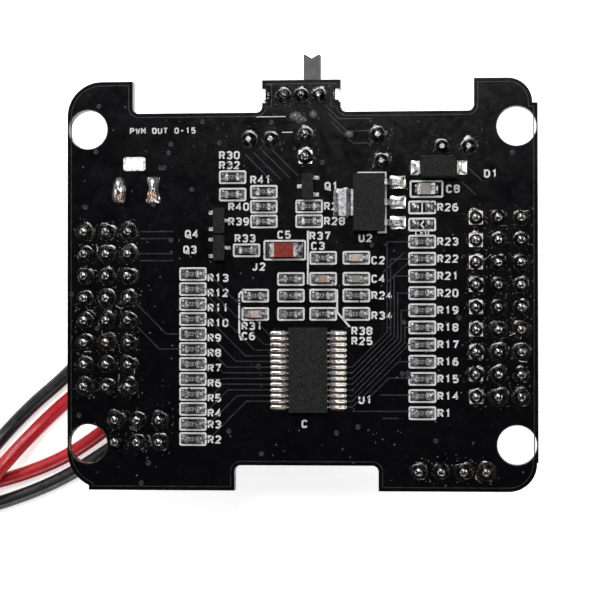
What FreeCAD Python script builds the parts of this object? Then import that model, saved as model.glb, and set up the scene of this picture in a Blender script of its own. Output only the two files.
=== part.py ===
import FreeCAD, Part
import math
import os
import Sketcher

# A 16-channel servo driver board, lying component side down on its tall capacitors. Millimetres.
# +Z is the solder side's normal, +Y points to the edge with the slide switch, and z = 0 is the floor.
# A "row" is a distance up from the board's lower edge, in +Y. X is measured from the board's middle.

DIMENSIONS = [
    ("board_width", 54.0, "board, along X"),
    ("board_depth", 47.0, "board, along Y"),
    ("board_thickness", 1.6, "board"),
    ("board_clearance", 12.0, "floor to the board's component side"),
    ("knob_reach", 3.2, "switch knob beyond the board's upper edge"),
    ("upper_notch_depth", 3.7, "the two notches beside the switch tab"),
    ("left_notch_start", 19.4, "left notch's outer side, left of the middle"),
    ("right_notch_end", 19.80, "right notch's outer side, right of the middle"),
    ("tab_left", 4.4, "switch tab, left of the middle"),
    ("tab_right", 4.6, "switch tab, right of the middle"),
    ("lower_notch_left", 7.6, "aerial notch, left of the middle"),
    ("lower_notch_right", 8.90, "aerial notch, right of the middle"),
    ("lower_notch_depth", 2.9, "aerial notch"),
    ("notch_fillet", 0.7, "inner corners of the notches"),
    ("corner_radius", 4.0, "upper left corner"),
    ("upper_right_radius", 2.8, "upper right corner"),
    ("upper_right_step", 0.6, "upper right corner, in from the right edge"),
    ("upper_right_step_depth", 2.85, "upper right corner, along Y"),
    ("lower_right_radius", 3.2, "lower right corner"),
    ("lower_right_step", 0.15, "lower right corner, in from the right edge"),
    ("lower_right_step_depth", 3.3, "lower right corner, along Y"),
    ("scoop_radius", 4.4, "lower left corner's round stretch"),
    ("scoop_across", 2.5, "where it ends at the lower edge"),
    ("scoop_up", 4.5, "where it ends at the left edge"),
    ("mount_radius", 2.25, "corner holes"),
    ("mount_spacing_across", 49.2, "corner holes, along X"),
    ("mount_spacing_up", 36.2, "corner holes, along Y"),
    ("mount_row", 5.3, "row of the two lower corner holes"),
    ("pitch", 2.54, "all pin headers"),
    ("pin_width", 0.64, "square header pins"),
    ("pin_tail", 1.4, "pin tip above the solder side"),
    ("pin_reach", 8.54, "pin tip below the component side"),
    ("pin_gap", 0.01, "pin to its hole in the plastic strip, each side"),
    ("strip_width", 2.5, "plastic strip of one row of pins"),
    ("strip_height", 2.54, "plastic strip"),
    ("strip_groove", 0.4, "V groove between neighbouring pins"),
    ("drill_radius", 0.5, "holes for the header pins"),
    ("lead_clearance", 0.15, "hole to a lead or terminal, each side"),
    ("left_header_column", -24.9, "outer pin column of the left servo header"),
    ("left_header_row", 29.7, "its upper pin"),
    ("right_header_column", 20.0, "inner pin column of the right servo header"),
    ("right_header_row", 31.1, "its upper pin"),
    ("port_header_column", -21.3, "outer pin column of the 2 x 3 header"),
    ("port_header_row", 8.1, "its upper pins"),
    ("serial_header_column", 13.5, "first pin of the 1 x 4 header"),
    ("serial_header_row", 2.3, "its row"),
    ("link_header_column", 0.6, "1 x 2 header"),
    ("link_header_row", 40.7, "its upper pin"),
    ("joint_radius", 0.84, "foot of a header's solder joint"),
    ("joint_height", 1.05, "solder joint"),
    ("joint_lip", 0.06, "solder left round a pin at the top of its joint"),
    ("joint_bore", 0.46, "radius round a header pin"),
    ("switch_joint_share", 0.95, "a switch joint's foot to a header joint's"),
    ("single_joint_share", 1.1, "a capacitor or fuse joint's foot to a header joint's"),
    ("single_joint_gap", 0.04, "lead to its joint's bore"),
    ("switch_column", 0.1, "middle of the slide switch"),
    ("switch_row", 45.2, "its pins"),
    ("switch_pin_pitch", 2.03, "its three terminals"),
    ("shell_length", 8.6, "switch shell, along X"),
    ("shell_depth", 3.55, "switch shell, along Y"),
    ("shell_height", 4.0, "switch shell, down from the board"),
    ("shell_wall", 0.3, "sheet metal"),
    ("shell_inset", 0.05, "shell behind the tab's edge"),
    ("lug_width", 1.2, "lugs that hold the shell to the board"),
    ("lug_rise", 1.0, "lug tip above the solder side"),
    ("lug_gap_across", 0.12, "lug to its slot, along X"),
    ("lug_gap_along", 0.2, "lug to its slot, along Y"),
    ("base_thickness", 0.5, "switch base"),
    ("fit_gap", 0.02, "base to shell, each side"),
    ("knob_width", 1.9, "knob, along X"),
    ("knob_height", 1.9, "knob, along Z"),
    ("knob_groove", 0.45, "depth of the V in the knob's tip"),
    ("knob_flat", 0.2, "flat beside the V"),
    ("knob_root", 0.5, "knob inside the carriage"),
    ("carriage_length", 4.2, "slider inside the shell, along X"),
    ("carriage_depth", 2.6, "slider inside the shell, along Y"),
    ("carriage_height", 2.3, "slider inside the shell, along Z"),
    ("slider_travel", 2.0, "knob travel between its two positions"),
    ("slider_gap", 0.1, "running clearance round the slider"),
    ("contact_thickness", 0.25, "sliding contact"),
    ("terminal_width", 0.5, "switch terminals, along X"),
    ("terminal_thickness", 0.3, "switch terminals, along Y"),
    ("terminal_rise", 1.0, "terminal tip above the solder side"),
    ("terminal_head", 0.08, "thickness of the contact pad below the base"),
    ("driver_column", 0.9, "28-lead chip"),
    ("driver_row", 13.8, "28-lead chip"),
    ("driver_width", 4.4, "plastic body, along X"),
    ("driver_length", 9.7, "plastic body, along Y"),
    ("driver_height", 0.95, "plastic body"),
    ("driver_standoff", 0.1, "gap below the plastic body"),
    ("driver_span", 6.4, "lead tip to lead tip"),
    ("driver_pitch", 0.65, "its leads"),
    ("driver_leads", 14, "leads on each side"),
    ("driver_lead_width", 0.22, "its leads"),
    ("driver_lead_thickness", 0.15, "its leads"),
    ("driver_lead_exit", 0.45, "board to where a lead leaves the body"),
    ("driver_lead_foot", 0.6, "flat of a lead"),
    ("regulator_column", 7.9, "regulator"),
    ("regulator_row", 32.9, "regulator"),
    ("regulator_width", 3.5, "plastic body, along X"),
    ("regulator_length", 6.5, "plastic body, along Y"),
    ("regulator_height", 1.6, "plastic body"),
    ("regulator_span", 7.0, "lead tip to tab tip"),
    ("regulator_pitch", 2.3, "its three leads"),
    ("regulator_lead_width", 0.7, "its three leads"),
    ("regulator_tab_width", 3.0, "its tab"),
    ("regulator_lead_thickness", 0.26, "its leads and tab"),
    ("regulator_lead_exit", 0.75, "board to where a lead leaves the body"),
    ("regulator_lead_foot", 1.0, "flat of a lead"),
    ("package_gap", 0.05, "board to a moulded body"),
    ("diode_column", 15.8, "diode"),
    ("diode_row", 36.8, "diode"),
    ("diode_length", 4.2, "plastic body, along X"),
    ("diode_width", 2.4, "plastic body, along Y"),
    ("diode_height", 1.9, "plastic body"),
    ("diode_span", 5.2, "terminal tip to tip"),
    ("diode_terminal_width", 1.45, "terminals"),
    ("diode_terminal_thickness", 0.2, "terminals"),
    ("diode_terminal_height", 0.8, "upright of a terminal"),
    ("diode_draft", -5.0, "degrees, its sloping sides"),
    ("transistor_width", 1.3, "plastic body, along X"),
    ("transistor_length", 2.9, "plastic body, along Y"),
    ("transistor_height", 1.0, "plastic body"),
    ("transistor_span", 2.5, "lead tip to tip"),
    ("transistor_pitch", 0.95, "half the distance between its paired leads"),
    ("transistor_lead_width", 0.42, "leads"),
    ("transistor_lead_thickness", 0.13, "leads"),
    ("transistor_lead_height", 0.5, "upright of a lead"),
    ("upper_transistor_column", 0.9, "transistor Q1"),
    ("upper_transistor_row", 34.8, "transistor Q1"),
    ("left_transistor_column", -9.3, "transistors Q4 and Q3"),
    ("left_transistor_row", 30.9, "transistor Q4"),
    ("left_transistor_pitch", 3.1, "Q4 to Q3"),
    ("chip_length", 1.6, "small chip parts, along X"),
    ("chip_width", 0.8, "small chip parts, along Y"),
    ("chip_end", 0.32, "metal end of a small chip part"),
    ("chip_gap", 0.04, "board to a chip part's body"),
    ("chip_end_lip", 0.06, "a metal end's height over its body's thickness"),
    ("resistor_height", 0.45, "chip resistors"),
    ("ceramic_height", 0.8, "chip capacitors"),
    ("medium_length", 2.0, "capacitor C8, along X"),
    ("medium_width", 1.25, "capacitor C8, along Y"),
    ("medium_end", 0.42, "its metal ends"),
    ("medium_column", 14.4, "capacitor C8"),
    ("medium_row", 34.4, "capacitor C8"),
    ("large_length", 3.2, "capacitor C5, along X"),
    ("large_width", 1.6, "capacitor C5, along Y"),
    ("large_height", 1.3, "capacitor C5"),
    ("large_end", 0.5, "its metal ends"),
    ("large_column", -1.8, "capacitor C5"),
    ("entry_column", -6.2, "resistor R33"),
    ("entry_row", 27.5, "resistor R33 and capacitor C5"),
    ("upper_left_column", -7.8, "resistors R30 and R32"),
    ("upper_left_row", 35.9, "the upper one"),
    ("upper_left_pitch", 2.0, "their spacing"),
    ("upper_middle_column", -4.2, "resistors R41, R40 and R39"),
    ("upper_middle_row", 34.2, "the upper one"),
    ("upper_right_column", 1.0, "resistors R27 and R28"),
    ("upper_right_row", 32.5, "the upper one"),
    ("upper_pitch", 1.7, "spacing in both of these columns"),
    ("cluster_left", -5.2, "columns of the chip parts above the driver chip"),
    ("cluster_inner", -1.1, "second column"),
    ("cluster_outer", 2.6, "third column"),
    ("cluster_right", 6.4, "fourth column"),
    ("cluster_low", 20.2, "its lowest row"),
    ("cluster_second", 22.3, "second row"),
    ("cluster_third", 24.2, "third row"),
    ("cluster_top", 26.6, "upper row"),
    ("left_column", -12.4, "the column of resistors R13 to R2"),
    ("left_column_row", 24.8, "its upper resistor"),
    ("left_column_pitch", 1.72, "its spacing"),
    ("left_column_count", 12, "its resistors"),
    ("right_column", 13.9, "the column of resistors R23 to R1"),
    ("right_column_row", 28.4, "its upper resistor"),
    ("right_column_pitch", 1.95, "its spacing"),
    ("right_column_count", 11, "its resistors"),
    ("wifi_column", 0.7, "WiFi module"),
    ("wifi_row", 3.0, "its aerial end"),
    ("wifi_width", 16.0, "module, along X"),
    ("wifi_length", 24.0, "module, along Y"),
    ("wifi_thickness", 0.8, "module's own board"),
    ("shield_width", 12.0, "shield can, along X"),
    ("shield_length", 15.0, "shield can, along Y"),
    ("shield_height", 2.3, "shield can"),
    ("shield_fillet", 0.4, "shield can's edges"),
    ("shield_margin", 1.6, "shield can to the module's upper end"),
    ("wifi_pitch", 2.0, "module's edge joints"),
    ("wifi_joints", 8, "edge joints on each side"),
    ("wifi_joint_length", 0.5, "an edge joint, along X"),
    ("wifi_joint_width", 0.9, "along Y"),
    ("wifi_joint_share", 0.6, "its height to the module's thickness"),
    ("wifi_joint_start", 8.2, "module's middle to its upper joint"),
    ("radial_radius", 3.15, "radial capacitor over its sleeve"),
    ("radial_sleeve", 0.15, "plastic sleeve's wall"),
    ("radial_bung", 0.8, "rubber bung against the board"),
    ("radial_bung_inset", 0.3, "bung inside the can's radius"),
    ("radial_sleeve_margin", 0.3, "bare can at each end of its sleeve"),
    ("radial_lead_radius", 0.27, "its leads"),
    ("radial_lead_rise", 1.2, "lead tip above the solder side"),
    ("radial_left_column", -4.6, "left radial capacitor"),
    ("radial_left_row", 40.2, "left radial capacitor"),
    ("radial_left_pitch", 2.5, "its leads"),
    ("radial_right_column", 17.7, "right radial capacitor"),
    ("radial_right_row", 39.2, "right radial capacitor"),
    ("radial_right_pitch", 3.0, "its leads"),
    ("polymer_radius", 4.0, "surface-mounted capacitor"),
    ("polymer_base", 8.3, "its square base"),
    ("polymer_base_height", 1.2, "its square base"),
    ("polymer_cut", 1.6, "cut corners of its base"),
    ("polymer_terminal_width", 0.9, "its terminals, along X"),
    ("polymer_terminal_length", 1.2, "along Y"),
    ("polymer_terminal_thickness", 0.3, "along Z"),
    ("polymer_left_column", -12.4, "left one"),
    ("polymer_left_row", 24.8, "left one"),
    ("polymer_right_column", 13.7, "right one"),
    ("polymer_right_row", 9.3, "right one"),
    ("fuse_column", 9.1, "resettable fuse"),
    ("fuse_row", 39.1, "resettable fuse"),
    ("fuse_radius", 3.4, "its disc"),
    ("fuse_thickness", 2.6, "its disc"),
    ("fuse_drop", 1.2, "board to the disc"),
    ("fuse_lead_radius", 0.25, "its leads"),
    ("fuse_lead_shift", 0.2, "each lead from the disc's plane, in opposite senses"),
    ("fuse_lead_spread", 3.0, "its leads, along Y"),
    ("fuse_lead_sink", 0.15, "lead past the disc's rim"),
    ("lead_joint_left", -21.0, "black wire's joint"),
    ("lead_joint_right", -17.0, "red wire's joint"),
    ("lead_joint_row", 34.5, "both wires' joints"),
    ("lead_joint_width", 1.7, "joint, along X"),
    ("lead_joint_length", 3.0, "joint, along Y"),
    ("lead_joint_height", 1.0, "joint"),
    ("lead_joint_draft", -20.0, "degrees, its sloping sides"),
    ("lead_slot_width", 1.0, "plated slot under a joint"),
    ("lead_slot_length", 2.4, "plated slot under a joint"),
    ("open_slot_column", -19.2, "open plated slot"),
    ("open_slot_row", 37.5, "open plated slot"),
    ("open_slot_width", 2.6, "open plated slot, along X"),
    ("open_slot_length", 1.6, "open plated slot, along Y"),
    ("open_slot_corner", 0.3, "open plated slot"),
    ("wire_diameter", 1.7, "both wires over their silicone"),
    ("core_radius", 0.4, "stranded core"),
    ("wire_strip", 0.6, "bare core below the board"),
    ("plug_heading", 35.0, "degrees from +X"),
    ("plug_column", -13.2, "middle of its rear face"),
    ("plug_row", 12.8, "middle of its rear face"),
    ("plug_length", 14.0, "two-way plug"),
    ("plug_width", 5.08, "two-way plug"),
    ("plug_height", 2.54, "two-way plug"),
    ("plug_socket", 1.3, "square opening of a socket"),
    ("plug_socket_depth", 9.0, "depth of a socket"),
    ("plug_floor_start", 1.0, "rear face to the plug's floor"),
    ("plug_floor_inset", 0.1, "plug's floor inside its sides"),
    ("contact_size", 0.9, "square contacts"),
    ("contact_shift", 0.3, "a contact's middle behind its socket's"),
    ("contact_shortfall", 1.5, "a contact shorter than its socket"),
]

# Routes of the two wires, from the joint to the plug. The height of a wire on the floor is its radius.
BLACK_ROUTE = [
    (-21.00, 9.40, 11.40), (-21.00, 9.40, 6.60), (-21.10, 6.40, 2.30), (-21.30, 1.40, 0.85),
    (-22.70, -3.60, 0.85), (-25.80, -8.20, 0.85), (-29.80, -12.40, 0.85), (-33.90, -15.80, 0.85),
    (-37.80, -19.90, 0.95), (-41.30, -24.70, 3.40), (-45.90, -31.00, 3.40), (-48.60, -37.60, 0.85),
    (-53.80, -39.90, 0.85), (-58.60, -37.00, 0.85), (-58.20, -31.60, 0.85), (-53.00, -29.20, 0.85),
    (-46.00, -29.60, 0.85), (-40.00, -28.40, 0.85), (-34.10, -26.45, 0.85), (-29.60, -24.45, 0.85),
    (-25.00, -21.60, 0.85), (-20.60, -18.50, 0.85), (-16.08, -15.86, 1.27), (-12.47, -13.34, 1.27),
]
RED_ROUTE = [
    (-17.00, 9.40, 11.40), (-17.00, 9.40, 6.60), (-17.60, 6.30, 2.30), (-18.40, 1.30, 0.85),
    (-19.40, -3.90, 0.85), (-21.90, -8.40, 0.85), (-25.60, -12.20, 0.85), (-29.80, -15.40, 0.85),
    (-33.40, -18.80, 0.95), (-37.20, -23.20, 3.20), (-42.60, -29.80, 3.40), (-45.60, -36.60, 0.85),
    (-49.40, -41.60, 0.85), (-55.40, -42.40, 0.85), (-60.20, -38.60, 0.85), (-61.20, -32.60, 0.85),
    (-57.60, -27.60, 0.85), (-51.00, -26.20, 0.85), (-44.40, -26.60, 0.85), (-38.00, -25.10, 0.85),
    (-33.80, -23.80, 0.85), (-29.60, -22.00, 0.85), (-25.40, -19.20, 0.85), (-21.60, -16.00, 0.85),
    (-17.53, -13.78, 1.27), (-13.93, -11.26, 1.27),
]

LOWER_EDGE = "(0 - (Sheet.board_depth + Sheet.knob_reach) / 2)"
SOLDER_SIDE = "(Sheet.board_clearance + Sheet.board_thickness)"
FAR = "60"
# Where the lug slots end, which is inside the notches beside the tab.
SLOT_END = "8"
# How far a cutting tool runs past what it cuts.
OVERRUN = "1"
# Share of a wire's shorter run that the arc at a corner takes.
BEND_SHARE = 0.45

doc = FreeCAD.newDocument("servo_driver_board")
sheet = doc.addObject("Spreadsheet::Sheet", "Sheet")
parts = []


# ---------------------------------------------------------------- helpers

def fill_sheet():
    for line, (alias, amount, meaning) in enumerate(DIMENSIONS, start=1):
        sheet.set(f"A{line}", meaning)
        sheet.set(f"B{line}", str(amount))
        sheet.setAlias(f"B{line}", alias)
    doc.recompute()


def size(alias):
    return float(getattr(sheet, alias))


def lower_edge():
    return -(size("board_depth") + size("knob_reach")) / 2


def solder_side():
    return size("board_clearance") + size("board_thickness")


def keep(piece, label):
    piece.Label = label
    parts.append(piece)
    return piece


def place(piece, column, row, height):
    """Bind a piece's origin to a column, a row and a height, each an expression."""
    piece.setExpression("Placement.Base.x", str(column))
    piece.setExpression("Placement.Base.y", f"{LOWER_EDGE} + {row}")
    piece.setExpression("Placement.Base.z", str(height))


def new_body(name):
    body = doc.addObject("PartDesign::Body", name)
    body.AllowCompound = True
    return body


def origin_feature(body, role):
    return next(feature for feature in body.Origin.OriginFeatures if feature.Role == role)


def sketch_on(body, role, name):
    sketch = body.newObject("Sketcher::SketchObject", name)
    sketch.AttachmentSupport = [(origin_feature(body, role), "")]
    sketch.MapMode = "FlatFace"
    return sketch


def fix_point(sketch, line, end, across, up):
    """Hold a point of a sketch at two expressions, measured from the sketch's origin."""
    for kind, text, axis in (("DistanceX", across, -2), ("DistanceY", up, -1)):
        if str(text) == "0":
            sketch.addConstraint(Sketcher.Constraint("PointOnObject", line, end, axis))
        else:
            index = sketch.addConstraint(Sketcher.Constraint(kind, -1, 1, line, end, 1.0))
            sketch.setExpression(f"Constraints[{index}]", str(text))


def polygon(sketch, corners):
    """A closed outline through corners, each a pair of expressions."""
    count = len(corners)
    rough = [
        FreeCAD.Vector(math.cos(2 * math.pi * k / count), math.sin(2 * math.pi * k / count), 0)
        for k in range(count)
    ]
    lines = [
        sketch.addGeometry(Part.LineSegment(rough[k], rough[(k + 1) % count])) for k in range(count)
    ]
    for k in range(count):
        following = lines[(k + 1) % count]
        sketch.addConstraint(Sketcher.Constraint("Coincident", lines[k], 2, following, 1))
    for line, (across, up) in zip(lines, corners):
        fix_point(sketch, line, 1, across, up)


def rectangle(sketch, left, low, right, high):
    polygon(sketch, [(left, low), (right, low), (right, high), (left, high)])


def block(sketch, across, up, width, height):
    """A rectangle round a middle."""
    rectangle(
        sketch,
        f"{across} - {width} / 2", f"{up} - {height} / 2",
        f"{across} + {width} / 2", f"{up} + {height} / 2",
    )


def circle(sketch, across, up, radius):
    line = sketch.addGeometry(Part.Circle(FreeCAD.Vector(0, 0, 0), FreeCAD.Vector(0, 0, 1), 1.0))
    fix_point(sketch, line, 3, across, up)
    index = sketch.addConstraint(Sketcher.Constraint("Radius", line, 1.0))
    sketch.setExpression(f"Constraints[{index}]", str(radius))


def pad(body, sketch, length, both_ways=False, taper=None):
    feature = body.newObject("PartDesign::Pad", f"{sketch.Name}_pad")
    feature.Profile = sketch
    feature.setExpression("Length", str(length))
    if both_ways:
        feature.SideType = "Symmetric"
    if taper:
        feature.setExpression("TaperAngle", taper)
    sketch.Visibility = False
    return feature


def pocket(body, sketch):
    """Cut a sketch right through what stands above the body's XY plane."""
    feature = body.newObject("PartDesign::Pocket", f"{sketch.Name}_pocket")
    feature.Profile = sketch
    feature.Type = "ThroughAll"
    feature.Reversed = True
    sketch.Visibility = False
    return feature


def repeat(body, originals, role, step, count, backwards=False):
    pattern = body.newObject("PartDesign::LinearPattern", f"{body.Name}_row")
    pattern.Originals = originals
    pattern.Direction = (origin_feature(body, role), [""])
    pattern.Reversed = backwards
    pattern.setExpression("Length", f"{step} * ({count} - 1)")
    pattern.setExpression("Occurrences", str(count))
    body.Tip = pattern
    return pattern


def volume_of(body):
    doc.recompute()
    return body.Shape.Volume


def must_cut(body, before, what):
    if volume_of(body) >= before - 1e-6:
        raise ValueError(f"{what} cuts nothing")


def box(name, across, along, up, column, row, height):
    """A box of three expressions, centred on a column and a row, standing on a height."""
    piece = doc.addObject("Part::Box", name)
    piece.setExpression("Length", str(across))
    piece.setExpression("Width", str(along))
    piece.setExpression("Height", str(up))
    place(piece, f"{column} - ({across}) / 2", f"{row} - ({along}) / 2", height)
    return piece


def rod(name, radius, length, column, row, height):
    piece = doc.addObject("Part::Cylinder", name)
    piece.setExpression("Radius", str(radius))
    piece.setExpression("Height", str(length))
    place(piece, column, row, height)
    return piece


def group(label, members):
    compound = doc.addObject("Part::Compound", label)
    compound.Links = members
    return keep(compound, label)


def cut(name, base, tool):
    feature = doc.addObject("Part::Cut", name)
    feature.Base = base
    feature.Tool = tool
    return feature


# ---------------------------------------------------------------- the bare board

def upright_edges(shape, places):
    """Names of the straight upright edges that stand at places, given as X and Y pairs."""
    names = []
    for number, edge in enumerate(shape.Edges, start=1):
        start, end = edge.firstVertex().Point, edge.lastVertex().Point
        upright = abs(start.x - end.x) < 1e-6 and abs(start.y - end.y) < 1e-6
        if upright and any(math.hypot(start.x - x, start.y - y) < 0.01 for x, y in places):
            names.append(f"Edge{number}")
    if len(names) != len(places):
        raise ValueError(f"found {len(names)} of {len(places)} upright edges")
    return names


def round_edges(body, base, radius_alias, places):
    doc.recompute()
    feature = body.newObject("PartDesign::Fillet", f"{radius_alias}_edges")
    feature.Base = (base, upright_edges(base.Shape, places))
    feature.setExpression("Radius", f"Sheet.{radius_alias}")
    return feature


def header_grid(column, row, columns, rows):
    """Middles of a header's pins, as pairs of expressions in X and row."""
    return [
        (f"Sheet.{column} + {i} * Sheet.pitch", f"Sheet.{row} - {j} * Sheet.pitch")
        for i in range(columns)
        for j in range(rows)
    ]


def drilled_places():
    """Every round drilled hole of the board, as (X, row, radius) expressions."""
    places = []
    for column, row, columns, rows in (
        ("left_header_column", "left_header_row", 3, 8),
        ("right_header_column", "right_header_row", 3, 9),
        ("port_header_column", "port_header_row", 3, 2),
        ("serial_header_column", "serial_header_row", 4, 1),
        ("link_header_column", "link_header_row", 1, 2),
    ):
        places += [(x, up, "Sheet.drill_radius") for x, up in header_grid(column, row, columns, rows)]
    for side in ("left", "right"):
        for sign in (-1, 1):
            x = f"Sheet.radial_{side}_column + {sign} * Sheet.radial_{side}_pitch / 2"
            places.append((x, f"Sheet.radial_{side}_row", "Sheet.radial_lead_radius + Sheet.lead_clearance"))
    for x, up in fuse_lead_places():
        places.append((x, up, "Sheet.fuse_lead_radius + Sheet.lead_clearance"))
    for k in (-1, 0, 1):
        x = f"Sheet.switch_column + {k} * Sheet.switch_pin_pitch"
        places.append((x, "Sheet.switch_row", "Sheet.terminal_width / 2 + Sheet.lead_clearance"))
    return places


def build_board():
    """The bare board. Its body's origin is at the middle of the rectangle it is cut from."""
    body = new_body("pcb")
    place(body, 0, "Sheet.board_depth / 2", "Sheet.board_clearance")
    half_width, half_depth = "Sheet.board_width / 2", "Sheet.board_depth / 2"

    blank = sketch_on(body, "XY_Plane", "blank")
    rectangle(blank, f"-{half_width}", f"-{half_depth}", half_width, half_depth)
    pad(body, blank, "Sheet.board_thickness")
    volume = volume_of(body)

    notches = sketch_on(body, "XY_Plane", "notches")
    floor = f"{half_depth} - Sheet.upper_notch_depth"
    rectangle(notches, "-Sheet.left_notch_start", floor, "-Sheet.tab_left", FAR)
    rectangle(notches, "Sheet.tab_right", floor, "Sheet.right_notch_end", FAR)
    roof = f"-{half_depth} + Sheet.lower_notch_depth"
    rectangle(notches, "-Sheet.lower_notch_left", f"-{FAR}", "Sheet.lower_notch_right", roof)
    pocket(body, notches)
    must_cut(body, volume, "the notches")
    volume = volume_of(body)

    steps = sketch_on(body, "XY_Plane", "corner_steps")
    upper_step, lower_step = "Sheet.upper_right_step", "Sheet.lower_right_step"
    rectangle(steps, f"{half_width} - {upper_step}", f"{half_depth} - {upper_step}_depth", FAR, FAR)
    rectangle(steps, f"{half_width} - {lower_step}", f"-{FAR}", FAR, f"-{half_depth} + {lower_step}_depth")
    stepped = pocket(body, steps)
    must_cut(body, volume, "the corner steps")

    x, y = size("board_width") / 2, size("board_depth") / 2
    upper, lower = y - size("upper_notch_depth"), -y + size("lower_notch_depth")
    inner = [(-size("left_notch_start"), upper), (-size("tab_left"), upper)]
    inner += [(size("tab_right"), upper), (size("right_notch_end"), upper)]
    inner += [(-size("lower_notch_left"), lower), (size("lower_notch_right"), lower)]
    soft = round_edges(body, stepped, "notch_fillet", inner)
    soft = round_edges(body, soft, "corner_radius", [(-x, y)])
    soft = round_edges(body, soft, "upper_right_radius", [(x - size("upper_right_step"), y)])
    round_edges(body, soft, "lower_right_radius", [(x - size("lower_right_step"), -y)])
    volume = volume_of(body)

    scoop = sketch_on(body, "XY_Plane", "lower_left_corner")
    corner_scoop(scoop, -x, -y)
    pocket(body, scoop)
    must_cut(body, volume, "the lower left corner")
    volume = volume_of(body)

    holes = sketch_on(body, "XY_Plane", "corner_holes")
    for sign in (-1, 1):
        for up in ("Sheet.mount_row", "Sheet.mount_row + Sheet.mount_spacing_up"):
            circle(
                holes, f"{sign} * Sheet.mount_spacing_across / 2", f"{up} - {half_depth}",
                "Sheet.mount_radius",
            )
    pocket(body, holes)
    must_cut(body, volume, "the corner holes")
    volume = volume_of(body)

    slots = sketch_on(body, "XY_Plane", "slots")
    for side in ("left", "right"):
        block(
            slots, f"Sheet.lead_joint_{side}", f"Sheet.lead_joint_row - {half_depth}",
            "Sheet.lead_slot_width", "Sheet.lead_slot_length",
        )
    block(
        slots, "Sheet.open_slot_column", f"Sheet.open_slot_row - {half_depth}",
        "Sheet.open_slot_width", "Sheet.open_slot_length",
    )
    lug = "Sheet.shell_length / 2 - Sheet.shell_wall"
    lug_low = f"Sheet.switch_row - {half_depth} - Sheet.lug_width / 2 - Sheet.lug_gap_along"
    lug_high = f"Sheet.switch_row - {half_depth} + Sheet.lug_width / 2 + Sheet.lug_gap_along"
    gap = "Sheet.lug_gap_across"
    rectangle(slots, f"-{SLOT_END}", lug_low, f"Sheet.switch_column - ({lug}) + {gap}", lug_high)
    rectangle(slots, f"Sheet.switch_column + ({lug}) - {gap}", lug_low, SLOT_END, lug_high)
    slotted = pocket(body, slots)
    must_cut(body, volume, "the slots")
    corners = [
        (
            size("open_slot_column") + i * size("open_slot_width") / 2,
            size("open_slot_row") - y + j * size("open_slot_length") / 2,
        )
        for i in (-1, 1)
        for j in (-1, 1)
    ]
    round_edges(body, slotted, "open_slot_corner", corners)
    volume = volume_of(body)

    drills = sketch_on(body, "XY_Plane", "drills")
    for across, up, radius in drilled_places():
        circle(drills, across, f"{up} - {half_depth}", radius)
    pocket(body, drills)
    must_cut(body, volume, "the drilled holes")
    keep(body, "pcb")


def corner_scoop(sketch, x, y):
    """The lower left corner's cut: a round stretch that ends in a small step at the lower edge."""
    radius, across, up = size("scoop_radius"), size("scoop_across"), size("scoop_up")
    middle = FreeCAD.Vector(x + radius, y + up, 0)
    start = FreeCAD.Vector(x, y + up, 0)
    end_x = x + across
    end = FreeCAD.Vector(end_x, middle.y - math.sqrt(radius**2 - (end_x - middle.x) ** 2), 0)
    low = FreeCAD.Vector(end_x, y - 1, 0)
    outside = FreeCAD.Vector(x - 1, y - 1, 0)
    above = FreeCAD.Vector(x - 1, y + up, 0)
    turn = math.atan2(end.y - middle.y, end.x - middle.x)
    round_part = Part.ArcOfCircle(Part.Circle(middle, FreeCAD.Vector(0, 0, 1), radius), -math.pi, turn)
    sketch.addGeometry(round_part)
    for first, second in ((end, low), (low, outside), (outside, above), (above, start)):
        sketch.addGeometry(Part.LineSegment(first, second))


# ---------------------------------------------------------------- pin headers

def build_strip(label, column, row, count, role="Y_Axis", wide=1):
    """A plastic strip. Its pins run down the board (role Y_Axis) or across it (role X_Axis)."""
    body = new_body(label)
    place(body, column, row, "Sheet.board_clearance - Sheet.strip_height")
    down = role == "Y_Axis"
    end = f"Sheet.pitch * ({count} - 0.5)"
    near, depth = "Sheet.pitch / 2", f"Sheet.strip_width / 2 + Sheet.pitch * {wide - 1}"
    side = "Sheet.strip_width / 2"
    outline = sketch_on(body, "XY_Plane", f"{label}_outline")
    if down:
        rectangle(outline, f"-{side}", f"-{end}", side, near)
    else:
        rectangle(outline, f"-{near}", f"-({depth})", end, side)
    pad(body, outline, "Sheet.strip_height")
    volume = volume_of(body)
    hole = sketch_on(body, "XY_Plane", f"{label}_hole")
    opening = "(Sheet.pin_width + 2 * Sheet.pin_gap)"
    for k in range(wide):
        up = "0" if k == 0 else f"-{k} * Sheet.pitch"
        block(hole, "0", up, opening, opening)
    holes = pocket(body, hole)
    originals = [holes]
    if count > 1:
        groove = sketch_on(body, "XY_Plane", f"{label}_groove")
        for sign, edge in ((1, side), (-1, f"({depth})" if not down else side)):
            tip = f"{sign} * ({edge} - Sheet.strip_groove)"
            mouth = f"{sign} * ({edge} + 0.1)"
            first, last = "Sheet.pitch / 2 - Sheet.strip_groove", "Sheet.pitch / 2 + Sheet.strip_groove"
            if down:
                corners = [(tip, "Sheet.pitch / 2"), (mouth, first), (mouth, last)]
            else:
                corners = [("-Sheet.pitch / 2", tip), (f"-({first})", mouth), (f"-({last})", mouth)]
            polygon(groove, corners)
        originals.append(pocket(body, groove))
    repeat(body, originals, role, "Sheet.pitch", count, backwards=down)
    must_cut(body, volume, label)
    keep(body, label)


def pin_members(name, places):
    length = "(Sheet.pin_reach + Sheet.board_thickness + Sheet.pin_tail)"
    return [
        box(f"{name}_{k}", "Sheet.pin_width", "Sheet.pin_width", length, across, up,
            "Sheet.board_clearance - Sheet.pin_reach")
        for k, (across, up) in enumerate(places)
    ]


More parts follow.
